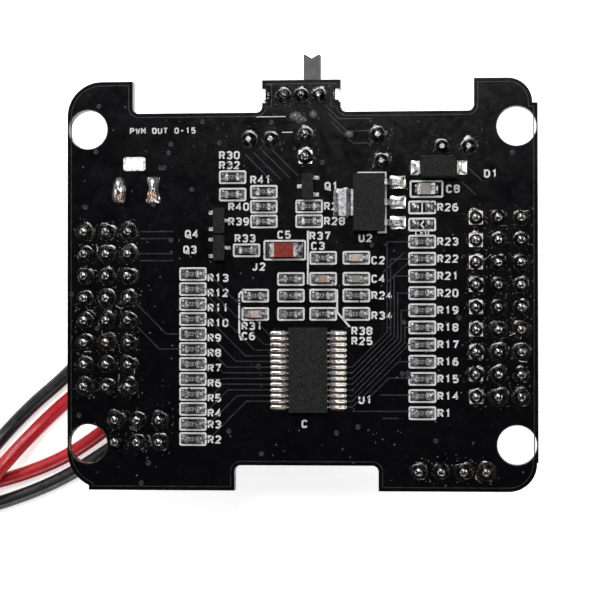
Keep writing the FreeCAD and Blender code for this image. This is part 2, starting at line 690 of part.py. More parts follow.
def build_pins(label, column, row, columns, rows):
    """Square pins of one servo header: a row across, repeated down the board."""
    body = new_body(label)
    place(body, f"Sheet.{column}", f"Sheet.{row}", "Sheet.board_clearance - Sheet.pin_reach")
    section = sketch_on(body, "XY_Plane", f"{label}_section")
    for k in range(columns):
        across = "0" if k == 0 else f"{k} * Sheet.pitch"
        block(section, across, "0", "Sheet.pin_width", "Sheet.pin_width")
    bars = pad(body, section, "Sheet.pin_reach + Sheet.board_thickness + Sheet.pin_tail")
    repeat(body, [bars], "Y_Axis", "Sheet.pitch", rows, backwards=True)
    keep(body, label)


def build_joints(label, places, bore="Sheet.joint_bore", foot="Sheet.joint_radius"):
    """Sloping solder joints round pins or leads, on the solder side."""
    joints = []
    for k, (across, up) in enumerate(places):
        slope = doc.addObject("Part::Cone", f"{label}_{k}")
        slope.setExpression("Radius1", foot)
        slope.setExpression("Radius2", f"{bore} + Sheet.joint_lip")
        slope.setExpression("Height", "Sheet.joint_height")
        place(slope, across, up, SOLDER_SIDE)
        hole = rod(f"{label}_bore_{k}", bore, "3 * Sheet.joint_height", across, up,
                   f"{SOLDER_SIDE} - Sheet.joint_height")
        joints.append(cut(f"{label}_joint_{k}", slope, hole))
    group(label, joints)


def build_headers():
    for side, rows in (("left", 8), ("right", 9)):
        names = ["signal", "power", "ground"] if side == "right" else ["ground", "power", "signal"]
        for k, name in enumerate(names):
            build_strip(
                f"{side}_{name}_strip", f"Sheet.{side}_header_column + {k} * Sheet.pitch",
                f"Sheet.{side}_header_row", rows,
            )
        build_pins(f"{side}_header_pins", f"{side}_header_column", f"{side}_header_row", 3, rows)
        build_joints(
            f"{side}_header_joints",
            header_grid(f"{side}_header_column", f"{side}_header_row", 3, rows),
        )
    build_strip("port_header_strip", "Sheet.port_header_column", "Sheet.port_header_row", 3, "X_Axis", 2)
    build_strip("serial_header_strip", "Sheet.serial_header_column", "Sheet.serial_header_row", 4, "X_Axis")
    build_strip("link_header_strip", "Sheet.link_header_column", "Sheet.link_header_row", 2)
    small = header_grid("port_header_column", "port_header_row", 3, 2)
    small += header_grid("serial_header_column", "serial_header_row", 4, 1)
    small += header_grid("link_header_column", "link_header_row", 1, 2)
    group("small_header_pins", pin_members("small_pin", small))
    build_joints("small_header_joints", small)


# ---------------------------------------------------------------- slide switch

SHELL_LOW = "(Sheet.board_clearance - Sheet.shell_height)"
SHELL_BACK = "(Sheet.board_depth - Sheet.shell_inset - Sheet.shell_depth)"
CAVITY_TOP = "(Sheet.board_clearance - Sheet.base_thickness)"
KNOB_TOP = f"({CAVITY_TOP} - Sheet.contact_thickness - 2 * Sheet.slider_gap)"


def switch_box(name, across, along, up, shift, row_low, height):
    """A box that stands on a row, its middle shift along X from the switch's middle."""
    piece = doc.addObject("Part::Box", name)
    piece.setExpression("Length", str(across))
    piece.setExpression("Width", str(along))
    piece.setExpression("Height", str(up))
    place(piece, f"Sheet.switch_column + {shift} - ({across}) / 2", row_low, height)
    return piece


def build_switch_shell():
    wall, gap = "Sheet.shell_wall", "Sheet.slider_gap"
    height = f"({CAVITY_TOP} + Sheet.base_thickness - {SHELL_LOW})"
    outer = switch_box(
        "shell_outer", "Sheet.shell_length", "Sheet.shell_depth", height, 0, SHELL_BACK, SHELL_LOW
    )
    inside = switch_box(
        "shell_inside", f"Sheet.shell_length - 2 * {wall}", f"Sheet.shell_depth - 2 * {wall}", height,
        0, f"{SHELL_BACK} + {wall}", f"{SHELL_LOW} + {wall}",
    )
    window = switch_box(
        "shell_window", f"Sheet.knob_width + Sheet.slider_travel + 2 * {gap}", "2 * Sheet.shell_wall",
        f"Sheet.knob_height + 2 * {gap}", 0,
        f"{SHELL_BACK} + Sheet.shell_depth - 1.5 * {wall}",
        f"{KNOB_TOP} - Sheet.knob_height - {gap}",
    )
    tin = cut("shell_open", cut("shell_hollow", outer, inside), window)
    lugs = [
        switch_box(
            f"shell_lug_{k}", wall, "Sheet.lug_width", "Sheet.board_thickness + Sheet.lug_rise",
            f"({sign} * (Sheet.shell_length - {wall}) / 2)", "Sheet.switch_row - Sheet.lug_width / 2",
            "Sheet.board_clearance",
        )
        for k, sign in enumerate((-1, 1))
    ]
    shell = doc.addObject("Part::MultiFuse", "switch_shell")
    shell.Shapes = [tin] + lugs
    keep(shell, "switch_shell")


def build_switch_inside():
    wall, gap = "Sheet.shell_wall", "Sheet.fit_gap"
    base = switch_box(
        "base_plate", f"Sheet.shell_length - 2 * {wall} - 2 * {gap}",
        f"Sheet.shell_depth - 2 * {wall} - 2 * {gap}", "Sheet.base_thickness", 0,
        f"{SHELL_BACK} + {wall} + {gap}", CAVITY_TOP,
    )
    terminals, holes = [], []
    for k, step in enumerate((-1, 0, 1)):
        shift = f"({step} * Sheet.switch_pin_pitch)"
        blade = switch_box(
            f"terminal_{k}", "Sheet.terminal_width", "Sheet.terminal_thickness",
            "Sheet.base_thickness + Sheet.board_thickness + Sheet.terminal_rise", shift,
            "Sheet.switch_row - Sheet.terminal_thickness / 2", CAVITY_TOP,
        )
        head = switch_box(
            f"terminal_head_{k}", "3 * Sheet.terminal_width", "5 * Sheet.terminal_thickness",
            "Sheet.terminal_head", shift, "Sheet.switch_row - 2.5 * Sheet.terminal_thickness",
            f"{CAVITY_TOP} - Sheet.terminal_head",
        )
        joined = doc.addObject("Part::Fuse", f"terminal_whole_{k}")
        joined.Base, joined.Tool = blade, head
        terminals.append(joined)
        holes.append(switch_box(
            f"terminal_hole_{k}", f"Sheet.terminal_width + 2 * {gap}",
            f"Sheet.terminal_thickness + 2 * {gap}", "3 * Sheet.base_thickness", shift,
            f"Sheet.switch_row - Sheet.terminal_thickness / 2 - {gap}",
            f"{CAVITY_TOP} - Sheet.base_thickness",
        ))
    drill = doc.addObject("Part::MultiFuse", "terminal_holes")
    drill.Shapes = holes
    keep(cut("switch_base", base, drill), "switch_base")
    group("switch_terminals", terminals)


def build_switch_slider():
    """The carriage with its knob, standing at the right end of its travel, and the contact it pushes."""
    shift = "(Sheet.slider_travel / 2)"
    front = "(Sheet.board_depth - Sheet.shell_inset - Sheet.shell_wall - Sheet.slider_gap)"
    body = new_body("switch_slider")
    place(body, f"Sheet.switch_column + {shift}", front, f"{KNOB_TOP} - Sheet.carriage_height")
    outline = sketch_on(body, "XY_Plane", "carriage")
    half = "Sheet.carriage_length / 2"
    rectangle(outline, f"-{half}", "-Sheet.carriage_depth", half, "0")
    pad(body, outline, "Sheet.carriage_height")
    knob = sketch_on(body, "XY_Plane", "knob")
    knob.setExpression("AttachmentOffset.Base.z", "Sheet.carriage_height - Sheet.knob_height")
    reach, side = f"(Sheet.board_depth + Sheet.knob_reach - {front})", "Sheet.knob_width / 2"
    polygon(knob, [
        (f"-{side}", "-Sheet.knob_root"), (side, "-Sheet.knob_root"), (side, reach),
        (f"{side} - Sheet.knob_flat", reach), ("0", f"{reach} - Sheet.knob_groove"),
        (f"-{side} + Sheet.knob_flat", reach), (f"-{side}", reach),
    ])
    pad(body, knob, "Sheet.knob_height")
    keep(body, "switch_slider")
    contact = switch_box(
        "contact_leaf", "1.3 * Sheet.switch_pin_pitch", "4 * Sheet.terminal_thickness",
        "Sheet.contact_thickness", shift, "Sheet.switch_row - 2 * Sheet.terminal_thickness",
        KNOB_TOP,
    )
    group("switch_contact", [contact])


def build_switch_joints():
    places = [
        (f"Sheet.switch_column + {k} * Sheet.switch_pin_pitch", "Sheet.switch_row") for k in (-1, 0, 1)
    ]
    build_joints("switch_joints", places, "Sheet.terminal_width / 2 + Sheet.joint_lip",
                 "Sheet.switch_joint_share * Sheet.joint_radius")


# ---------------------------------------------------------------- solder-side parts

def gull_wing(sketch, side, body_half, tip, thickness, exit_height, foot):
    """A bent lead's outline, side 1 to the right and -1 to the left."""
    corners = [
        (body_half, f"{exit_height} + {thickness}"),
        (f"{body_half} + {foot} * 0.3", f"{exit_height} + {thickness}"),
        (f"{tip} - {foot} * 0.85", thickness),
        (tip, thickness),
        (tip, "0"),
        (f"{tip} - {foot}", "0"),
        (f"{body_half} + {foot} * 0.18", exit_height),
        (body_half, exit_height),
    ]
    polygon(sketch, [(f"{side} * ({across})", up) for across, up in corners])


def build_driver_chip():
    body_half, tip = "Sheet.driver_width / 2", "Sheet.driver_span / 2"
    package = new_body("driver_chip_body")
    place(package, "Sheet.driver_column", "Sheet.driver_row", f"{SOLDER_SIDE} + Sheet.driver_standoff")
    outline = sketch_on(package, "XY_Plane", "driver_outline")
    block(outline, "0", "0", "Sheet.driver_width", "Sheet.driver_length")
    pad(package, outline, "Sheet.driver_height")
    keep(package, "driver_chip_body")
    leads = new_body("driver_chip_leads")
    first = "Sheet.driver_row - (Sheet.driver_leads - 1) / 2 * Sheet.driver_pitch"
    place(leads, "Sheet.driver_column", first, SOLDER_SIDE)
    wings = []
    for side in (-1, 1):
        outline = sketch_on(leads, "XZ_Plane", f"driver_lead_{side + 1}")
        gull_wing(outline, side, body_half, tip, "Sheet.driver_lead_thickness",
                  "Sheet.driver_lead_exit", "Sheet.driver_lead_foot")
        wings.append(pad(leads, outline, "Sheet.driver_lead_width", both_ways=True))
    repeat(leads, wings, "Y_Axis", "Sheet.driver_pitch", "Sheet.driver_leads")
    keep(leads, "driver_chip_leads")


def build_regulator():
    package = new_body("regulator_body")
    place(package, "Sheet.regulator_column", "Sheet.regulator_row", f"{SOLDER_SIDE} + Sheet.package_gap")
    outline = sketch_on(package, "XY_Plane", "regulator_outline")
    block(outline, "0", "0", "Sheet.regulator_width", "Sheet.regulator_length")
    pad(package, outline, "Sheet.regulator_height")
    keep(package, "regulator_body")
    body_half, tip = "Sheet.regulator_width / 2", "Sheet.regulator_span / 2"
    leads = new_body("regulator_leads")
    place(leads, "Sheet.regulator_column", "Sheet.regulator_row", SOLDER_SIDE)
    thickness, foot = "Sheet.regulator_lead_thickness", "Sheet.regulator_lead_foot"
    exit_height = "Sheet.regulator_lead_exit"
    outline = sketch_on(leads, "XZ_Plane", "regulator_tab")
    gull_wing(outline, -1, body_half, tip, thickness, exit_height, foot)
    pad(leads, outline, "Sheet.regulator_tab_width", both_ways=True)
    outline = sketch_on(leads, "XZ_Plane", "regulator_lead")
    gull_wing(outline, 1, body_half, tip, thickness, exit_height, foot)
    middle = pad(leads, outline, "Sheet.regulator_lead_width", both_ways=True)
    repeat(leads, [middle], "Y_Axis", "Sheet.regulator_pitch", 2)
    other = leads.newObject("PartDesign::LinearPattern", "regulator_leads_down")
    other.Originals = [middle]
    other.Direction = (origin_feature(leads, "Y_Axis"), [""])
    other.Reversed = True
    other.setExpression("Length", "Sheet.regulator_pitch")
    other.Occurrences = 2
    leads.Tip = other
    keep(leads, "regulator_leads")


def feet(name, column, row, body_half, tip, width, thickness, height, side):
    """A bent terminal as two plates: a foot on the board and an upright against the body's side."""
    foot_middle = f"{column} + {side} * ({body_half} + {tip}) / 2"
    upright = f"{column} + {side} * ({body_half} + {thickness} / 2)"
    return [
        box(f"{name}_foot", f"{tip} - {body_half}", width, thickness, foot_middle, row, SOLDER_SIDE),
        box(f"{name}_upright", thickness, width, height, upright, row, f"{SOLDER_SIDE} + {thickness}"),
    ]


def build_diode():
    package = new_body("diode_body")
    place(package, "Sheet.diode_column", "Sheet.diode_row", f"{SOLDER_SIDE} + Sheet.package_gap")
    outline = sketch_on(package, "XY_Plane", "diode_outline")
    block(outline, "0", "0", "Sheet.diode_length", "Sheet.diode_width")
    pad(package, outline, "Sheet.diode_height", taper="Sheet.diode_draft")
    keep(package, "diode_body")
    ends = []
    for k, side in enumerate((-1, 1)):
        ends += feet(
            f"diode_{k}", "Sheet.diode_column", "Sheet.diode_row", "Sheet.diode_length / 2",
            "Sheet.diode_span / 2", "Sheet.diode_terminal_width", "Sheet.diode_terminal_thickness",
            "Sheet.diode_terminal_height", side,
        )
    group("diode_terminals", ends)


def build_transistors():
    bodies, leads = [], []
    column, row = "Sheet.left_transistor_column", "Sheet.left_transistor_row"
    places = [
        # column, row, and 1 where the paired leads are on the right or -1 where they are on the left
        ("Sheet.upper_transistor_column", "Sheet.upper_transistor_row", 1),
        (column, row, -1),
        (column, f"{row} - Sheet.left_transistor_pitch", -1),
    ]
    for k, (x, row, paired) in enumerate(places):
        bodies.append(box(
            f"transistor_{k}", "Sheet.transistor_width", "Sheet.transistor_length",
            "Sheet.transistor_height", x, row, f"{SOLDER_SIDE} + Sheet.package_gap",
        ))
        for side, up in ((paired, 1), (paired, -1), (-paired, 0)):
            leads += feet(
                f"transistor_{k}_{len(leads)}", x, f"{row} + {up} * Sheet.transistor_pitch",
                "Sheet.transistor_width / 2", "Sheet.transistor_span / 2", "Sheet.transistor_lead_width",
                "Sheet.transistor_lead_thickness", "Sheet.transistor_lead_height", side,
            )
    group("transistor_bodies", bodies)
    group("transistor_leads", leads)


def chip_boxes(name, places, length, width, height, end):
    """Bodies and metal ends of chip parts that lie along X, at (X, row) pairs of expressions."""
    bodies, ends = [], []
    for k, (x, row) in enumerate(places):
        bodies.append(box(
            f"{name}_{k}", f"{length} - 2 * {end}", width, height, x, row, f"{SOLDER_SIDE} + Sheet.chip_gap"
        ))
        for i, side in enumerate((-1, 1)):
            middle = f"{x} + {side} * ({length} - {end}) / 2"
            ends.append(box(
                f"{name}_{k}_end_{i}", end, width, f"{height} + Sheet.chip_end_lip", middle, row, SOLDER_SIDE
            ))
    return bodies, ends


def centre_resistor_places():
    """Middles of the resistors between the two long columns, as (X, row) expressions."""
    places = [
        ("Sheet.upper_left_column", f"Sheet.upper_left_row - {k} * Sheet.upper_left_pitch") for k in range(2)
    ]
    for name, count in (("upper_middle", 3), ("upper_right", 2)):
        for k in range(count):
            places.append((f"Sheet.{name}_column", f"Sheet.{name}_row - {k} * Sheet.upper_pitch"))
    places.append(("Sheet.entry_column", "Sheet.entry_row"))
    for row, columns in (
        ("top", ["outer"]),
        ("third", ["inner"]),
        ("second", ["left", "inner", "outer", "right"]),
        ("low", ["inner", "outer", "right"]),
    ):
        places += [(f"Sheet.cluster_{column}", f"Sheet.cluster_{row}") for column in columns]
    return places


def small_ceramic_places():
    """Middles of capacitors C3, C2, C4 and C6, as (X, row) expressions."""
    spots = (("outer", "third"), ("right", "top"), ("right", "third"), ("left", "low"))
    return [(f"Sheet.cluster_{column}", f"Sheet.cluster_{row}") for column, row in spots]


def build_chips():
    small = ("Sheet.chip_length", "Sheet.chip_width")
    columns = {
        side: [
            (f"Sheet.{side}_column", f"(Sheet.{side}_column_row - {k} * Sheet.{side}_column_pitch)")
            for k in range(int(size(f"{side}_column_count")))
        ]
        for side in ("left", "right")
    }
    columns["centre"] = centre_resistor_places()
    for side, places in columns.items():
        bodies, ends = chip_boxes(
            f"{side}_resistor", places, *small, "Sheet.resistor_height", "Sheet.chip_end"
        )
        group(f"{side}_resistor_bodies", bodies)
        group(f"{side}_resistor_ends", ends)
    bodies, ends = chip_boxes(
        "ceramic", small_ceramic_places(), *small, "Sheet.ceramic_height", "Sheet.chip_end"
    )
    more = chip_boxes(
        "medium_ceramic", [("Sheet.medium_column", "Sheet.medium_row")], "Sheet.medium_length",
        "Sheet.medium_width", "Sheet.ceramic_height", "Sheet.medium_end",
    )
    group("ceramic_bodies", bodies + more[0])
    group("ceramic_ends", ends + more[1])
    bodies, ends = chip_boxes(
        "large", [("Sheet.large_column", "Sheet.entry_row")], "Sheet.large_length", "Sheet.large_width",
        "Sheet.large_height", "Sheet.large_end",
    )
    group("large_capacitor_body", bodies)
    group("large_capacitor_ends", ends)


# ---------------------------------------------------------------- component-side parts

def build_wifi():
    module_low = "(Sheet.board_clearance - Sheet.wifi_thickness)"
    middle = "(Sheet.wifi_row + Sheet.wifi_length / 2)"
    group("wifi_board", [box(
        "wifi_plate", "Sheet.wifi_width", "Sheet.wifi_length", "Sheet.wifi_thickness",
        "Sheet.wifi_column", middle, module_low,
    )])
    shield = new_body("wifi_shield")
    row = "Sheet.wifi_row + Sheet.wifi_length - Sheet.shield_margin - Sheet.shield_length / 2"
    place(shield, "Sheet.wifi_column", row, f"{module_low} - Sheet.shield_height")
    outline = sketch_on(shield, "XY_Plane", "shield_outline")
    block(outline, "0", "0", "Sheet.shield_width", "Sheet.shield_length")
    can = pad(shield, outline, "Sheet.shield_height")
    x, y = size("shield_width") / 2, size("shield_length") / 2
    round_edges(shield, can, "shield_fillet", [(x, y), (x, -y), (-x, y), (-x, -y)])
    keep(shield, "wifi_shield")
    joints = []
    rise = "Sheet.wifi_joint_share * Sheet.wifi_thickness"
    for side in (-1, 1):
        for k in range(int(size("wifi_joints"))):
            joints.append(box(
                f"wifi_joint_{side + 1}_{k}", "Sheet.wifi_joint_length", "Sheet.wifi_joint_width", rise,
                f"Sheet.wifi_column + {side} * (Sheet.wifi_width + Sheet.wifi_joint_length) / 2",
                f"{middle} + Sheet.wifi_joint_start - {k} * Sheet.wifi_pitch",
                f"Sheet.board_clearance - {rise}",
            ))
    group("wifi_joints", joints)


def build_radials():
    """Two radial electrolytic capacitors that the board stands on, with their tops on the floor."""
    cans, sleeves, bungs, leads = [], [], [], []
    body_top = "(Sheet.board_clearance - Sheet.radial_bung)"
    inner = "Sheet.radial_radius - Sheet.radial_sleeve"
    margin = "Sheet.radial_sleeve_margin"
    for side in ("left", "right"):
        x, row = f"Sheet.radial_{side}_column", f"Sheet.radial_{side}_row"
        cans.append(rod(f"{side}_can", inner, body_top, x, row, "0"))
        skin = rod(f"{side}_skin", "Sheet.radial_radius", f"{body_top} - 2 * {margin}", x, row, margin)
        inside = rod(f"{side}_skin_inside", inner, f"{body_top} + 2 * {OVERRUN}", x, row, f"-{OVERRUN}")
        sleeves.append(cut(f"{side}_sleeve", skin, inside))
        bung_radius = f"{inner} - Sheet.radial_bung_inset"
        bung = rod(f"{side}_bung_blank", bung_radius, "Sheet.radial_bung", x, row, body_top)
        legs = []
        for k, sign in enumerate((-1, 1)):
            at = f"{x} + {sign} * Sheet.radial_{side}_pitch / 2"
            leads.append(rod(
                f"{side}_lead_{k}", "Sheet.radial_lead_radius",
                "Sheet.radial_bung + Sheet.board_thickness + Sheet.radial_lead_rise", at, row, body_top,
            ))
            legs.append(rod(
                f"{side}_leg_{k}", "Sheet.radial_lead_radius + Sheet.pin_gap", "3 * Sheet.radial_bung",
                at, row, f"{body_top} - Sheet.radial_bung",
            ))
        pair = doc.addObject("Part::MultiFuse", f"{side}_legs")
        pair.Shapes = legs
        bungs.append(cut(f"{side}_bung", bung, pair))
    group("radial_cans", cans)
    group("radial_sleeves", sleeves)
    group("radial_bungs", bungs)
    group("radial_leads", leads)


def build_polymers():
    cans, terminals = [], []
    base_low = "(Sheet.board_clearance - Sheet.polymer_base_height)"
    half, cut_off = "Sheet.polymer_base / 2", "(Sheet.polymer_base / 2 - Sheet.polymer_cut)"
    bases = []
    for side in ("left", "right"):
        x, row = f"Sheet.polymer_{side}_column", f"Sheet.polymer_{side}_row"
        cans.append(rod(f"{side}_polymer_can", "Sheet.polymer_radius", base_low, x, row, "0"))
        base = new_body(f"{side}_polymer_base")
        place(base, x, row, base_low)
        outline = sketch_on(base, "XY_Plane", f"{side}_polymer_outline")
        polygon(outline, [
            (f"-{half}", f"-{half}"), (half, f"-{half}"), (half, cut_off), (cut_off, half),
            (f"-{cut_off}", half), (f"-{half}", cut_off),
        ])
        pad(base, outline, "Sheet.polymer_base_height")
        bases.append(base)
        for k, sign in enumerate((-1, 1)):
            terminals.append(box(
                f"{side}_polymer_terminal_{k}", "Sheet.polymer_terminal_width",
                "Sheet.polymer_terminal_length", "Sheet.polymer_terminal_thickness", x,
                f"{row} + {sign} * ({half} + Sheet.polymer_terminal_length / 2)",
                "Sheet.board_clearance - Sheet.polymer_terminal_thickness",
            ))
    group("polymer_cans", cans)
    group("polymer_bases", bases)
    group("polymer_terminals", terminals)


def fuse_lead_places():
    """Middles of the fuse's two leads, as (X, row) expressions."""
    return [
        (
            f"Sheet.fuse_column - {sign} * Sheet.fuse_lead_shift",
            f"Sheet.fuse_row + {sign} * Sheet.fuse_lead_spread / 2",
        )
        for sign in (1, -1)
    ]


def fuse_round(name):
    """A disc that stands on its edge, below the board."""
    disc = doc.addObject("Part::Cylinder", name)
    disc.setExpression("Radius", "Sheet.fuse_radius")
    disc.setExpression("Height", "Sheet.fuse_thickness")
    disc.Placement = FreeCAD.Placement(
        FreeCAD.Vector(0, 0, 0), FreeCAD.Rotation(FreeCAD.Vector(0, 1, 0), 90)
    )
    height = "Sheet.board_clearance - Sheet.fuse_drop - Sheet.fuse_radius"
    place(disc, "Sheet.fuse_column - Sheet.fuse_thickness / 2", "Sheet.fuse_row", height)
    return disc


def build_fuse():
    """The fuse's disc, and two leads that end on its rim."""
    group("fuse_disc", [fuse_round("fuse_round")])
    radius = size("fuse_radius")
    rim = radius - math.sqrt(radius**2 - (size("fuse_lead_spread") / 2) ** 2)
    sink = f"(Sheet.fuse_drop + {rim:.3f} + Sheet.fuse_lead_sink)"
    leads = []
    for k, (x, row) in enumerate(fuse_lead_places()):
        blank = rod(
            f"fuse_lead_{k}", "Sheet.fuse_lead_radius",
            f"{sink} + Sheet.board_thickness + Sheet.radial_lead_rise", x, row,
            f"Sheet.board_clearance - {sink}",
        )
        leads.append(cut(f"fuse_leg_{k}", blank, fuse_round(f"fuse_tool_{k}")))
    group("fuse_leads", leads)


def build_single_joints():
    places = []
    for side in ("left", "right"):
        for sign in (-1, 1):
            x = f"Sheet.radial_{side}_column + {sign} * Sheet.radial_{side}_pitch / 2"
            places.append((x, f"Sheet.radial_{side}_row"))
    places += fuse_lead_places()
    build_joints(
        "single_joints", places, "Sheet.radial_lead_radius + Sheet.single_joint_gap",
        "Sheet.single_joint_share * Sheet.joint_radius",
    )


# ---------------------------------------------------------------- power lead

def build_lead_joints():
    cores = []
    body = new_body("lead_joints")
    place(body, 0, "Sheet.lead_joint_row", SOLDER_SIDE)
    outline = sketch_on(body, "XY_Plane", "lead_joint_feet")
    for k, side in enumerate(("left", "right")):
        x = f"Sheet.lead_joint_{side}"
        block(outline, x, "0", "Sheet.lead_joint_width", "Sheet.lead_joint_length")
        cores.append(rod(
            f"core_{k}", "Sheet.core_radius", "Sheet.board_thickness + Sheet.wire_strip", x,
            "Sheet.lead_joint_row", "Sheet.board_clearance - Sheet.wire_strip",
        ))
    pad(body, outline, "Sheet.lead_joint_height", taper="Sheet.lead_joint_draft")
    keep(body, "lead_joints")
    group("lead_cores", cores)


def tube(label, route):
    """A round wire along straight runs that are joined by tangent arcs, with its arcs' radii printed."""
    points = [FreeCAD.Vector(*point) for point in route]
    edges, start, radii = [], points[0], []
    for before, corner, after in zip(points, points[1:], points[2:]):
        back, ahead = before - corner, after - corner
        shorter = min(back.Length, ahead.Length)
        back.normalize()
        ahead.normalize()
        half_turn = (math.pi - back.getAngle(ahead)) / 2
        reach = BEND_SHARE * shorter
        radii.append(reach / math.tan(half_turn))
        enter, leave = corner + back * reach, corner + ahead * reach
        inward = back + ahead
        inward.normalize()
        depth = radii[-1] / math.cos(half_turn) - radii[-1]
        edges.append(Part.LineSegment(start, enter).toShape())
        edges.append(Part.Arc(enter, corner + inward * depth, leave).toShape())
        start = leave
    edges.append(Part.LineSegment(start, points[-1]).toShape())
    path = Part.Wire(edges)
    radius = size("wire_diameter") / 2
    first = points[1] - points[0]
    ring = Part.Wire(Part.makeCircle(radius, points[0], first))
    solid = path.makePipeShell([ring], True, False)
    expected = math.pi * radius**2 * path.Length
    print(label, "length", round(path.Length, 2), "volume ratio", round(solid.Volume / expected, 4))
    print(label, "arc radii", [round(r, 1) for r in radii])
    piece = doc.addObject("Part::Feature", label)
    piece.Shape = solid
    piece.Placement = FreeCAD.Placement()
    keep(piece, label)


def build_plug():
    """A two-way plug lying on the floor. Its body's origin is the middle of its rear face's foot."""
    turn = FreeCAD.Rotation(FreeCAD.Vector(0, 0, 1), size("plug_heading"))
    body = new_body("plug_housing")
    body.Placement = FreeCAD.Placement(FreeCAD.Vector(0, 0, 0), turn)
    place(body, "Sheet.plug_column", "Sheet.plug_row", "0")
    outline = sketch_on(body, "XY_Plane", "plug_outline")
    rectangle(outline, "0", "-Sheet.plug_width / 2", "Sheet.plug_length", "Sheet.plug_width / 2")
    pad(body, outline, "Sheet.plug_height")
    volume = volume_of(body)
    sockets = sketch_on(body, "XY_Plane", "plug_sockets")
    for sign in (-1, 1):
        block(
            sockets, f"Sheet.plug_length - (Sheet.plug_socket_depth - {OVERRUN}) / 2",
            f"{sign} * Sheet.pitch / 2", f"(Sheet.plug_socket_depth + {OVERRUN})", "Sheet.plug_socket",
        )
    cavity = body.newObject("PartDesign::Pocket", "plug_cavity")
    cavity.Profile = sockets
    cavity.Reversed = True
    cavity.setExpression("Length", "Sheet.plug_height / 2 + Sheet.plug_socket / 2")
    must_cut(body, volume, "the plug's sockets")
    floor = sketch_on(body, "XY_Plane", "plug_floor")
    side = "(Sheet.plug_width / 2 - Sheet.plug_floor_inset)"
    rectangle(floor, "Sheet.plug_floor_start", f"-{side}", "Sheet.plug_length", side)
    pad(body, floor, "Sheet.plug_height / 2 - Sheet.plug_socket / 2")
    keep(body, "plug_housing")
    contacts = new_body("plug_contacts")
    contacts.Placement = FreeCAD.Placement(FreeCAD.Vector(0, 0, 0), turn)
    place(contacts, "Sheet.plug_column", "Sheet.plug_row", "(Sheet.plug_height - Sheet.contact_size) / 2")
    outline = sketch_on(contacts, "XY_Plane", "contact_outline")
    for sign in (-1, 1):
        block(
            outline, "Sheet.plug_length - Sheet.plug_socket_depth / 2 - Sheet.contact_shift",
            f"{sign} * Sheet.pitch / 2", "(Sheet.plug_socket_depth - Sheet.contact_shortfall)",
            "Sheet.contact_size",
        )
    pad(contacts, outline, "Sheet.contact_size")
    keep(contacts, "plug_contacts")


# ---------------------------------------------------------------- build, check, write

def check():
    doc.recompute()
    for item in doc.Objects:
        if "Invalid" in item.State or "Error" in item.State:
            raise ValueError(f"{item.Label} failed: {item.State}")
    for piece in parts:
        if piece.Shape.isNull() or not piece.Shape.isValid():
            raise ValueError(f"{piece.Label} has no valid shape")
        for solid in piece.Shape.Solids:
            if not solid.isClosed():
                raise ValueError(f"{piece.Label} has an open solid")


def write():
    os.makedirs("parts", exist_ok=True)
    for piece in parts:
        piece.Shape.exportStep(f"parts/{piece.Label}.step")
    print(len(parts), "nodes written")


fill_sheet()
build_board()
build_headers()
build_switch_shell()
build_switch_inside()
build_switch_slider()
build_switch_joints()
build_driver_chip()
build_regulator()
build_diode()
build_transistors()
build_chips()
build_wifi()
build_radials()
build_polymers()
build_fuse()
build_single_joints()
build_lead_joints()
tube("black_wire", BLACK_ROUTE)
tube("red_wire", RED_ROUTE)
build_plug()
check()
write()
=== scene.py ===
"""Looks of the servo driver board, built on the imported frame.

Lengths in the lists are millimetres in the part's own frame, and MM turns them into metres.
"""

import math
import random

import bpy
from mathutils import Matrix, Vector


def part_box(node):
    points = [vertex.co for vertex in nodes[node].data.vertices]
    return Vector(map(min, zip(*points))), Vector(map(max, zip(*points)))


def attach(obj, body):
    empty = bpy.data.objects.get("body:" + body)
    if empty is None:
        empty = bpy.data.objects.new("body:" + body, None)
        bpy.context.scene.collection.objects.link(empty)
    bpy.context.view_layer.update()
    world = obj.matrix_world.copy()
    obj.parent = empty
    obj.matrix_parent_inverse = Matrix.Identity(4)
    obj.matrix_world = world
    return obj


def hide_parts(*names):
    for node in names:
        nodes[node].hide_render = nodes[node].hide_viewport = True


MM = 0.001
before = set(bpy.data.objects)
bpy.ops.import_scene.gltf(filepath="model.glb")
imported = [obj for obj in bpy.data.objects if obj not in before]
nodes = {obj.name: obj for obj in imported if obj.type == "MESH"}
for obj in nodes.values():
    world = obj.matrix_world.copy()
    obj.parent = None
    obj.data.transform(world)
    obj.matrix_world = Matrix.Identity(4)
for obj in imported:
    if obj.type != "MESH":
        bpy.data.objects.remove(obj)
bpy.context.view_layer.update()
chance = random.Random(11)

BOARD_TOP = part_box("pcb")[1].z / MM
SILK_HEIGHT = 0.025
TRACE_HEIGHT = 0.035
PAD_HEIGHT = 0.05

# ---------------------------------------------------------------- camera, floor and light

CAMERA_PLACE = (22.6, -6.9, 262.6)
CAMERA_TURN_DEGREES = (0.82, 5.2, -0.05)
CAMERA_LENS = 131.3
CAMERA_SENSOR = 36
FLOOR_HALF_SIDE = 1500.0
# The floor lies a hair below the pieces that stand on it.
FLOOR_DROP = 0.03
FLOOR_GLOW = 0.62
LIGHTS = {
    # name: (place, size, power in watts)
    "top_softbox": ((-20, 168, 460), 150, 1.0),
    "key_light": ((-160, 420, 330), 240, 1.7),
    "right_light": ((450, 80, 300), 180, 0.95),
    "left_light": ((-450, -60, 290), 190, 0.45),
    "front_light": ((60, -470, 250), 220, 0.75),
}
AIM = (0, 0, 10)


def make_camera():
    data = bpy.data.cameras.new("camera")
    data.lens = CAMERA_LENS
    data.sensor_width = CAMERA_SENSOR
    data.clip_start = 0.01
    camera = bpy.data.objects.new("camera", data)
    bpy.context.scene.collection.objects.link(camera)
    camera.location = Vector(CAMERA_PLACE) * MM
    camera.rotation_euler = [math.radians(angle) for angle in CAMERA_TURN_DEGREES]
    bpy.context.scene.camera = camera


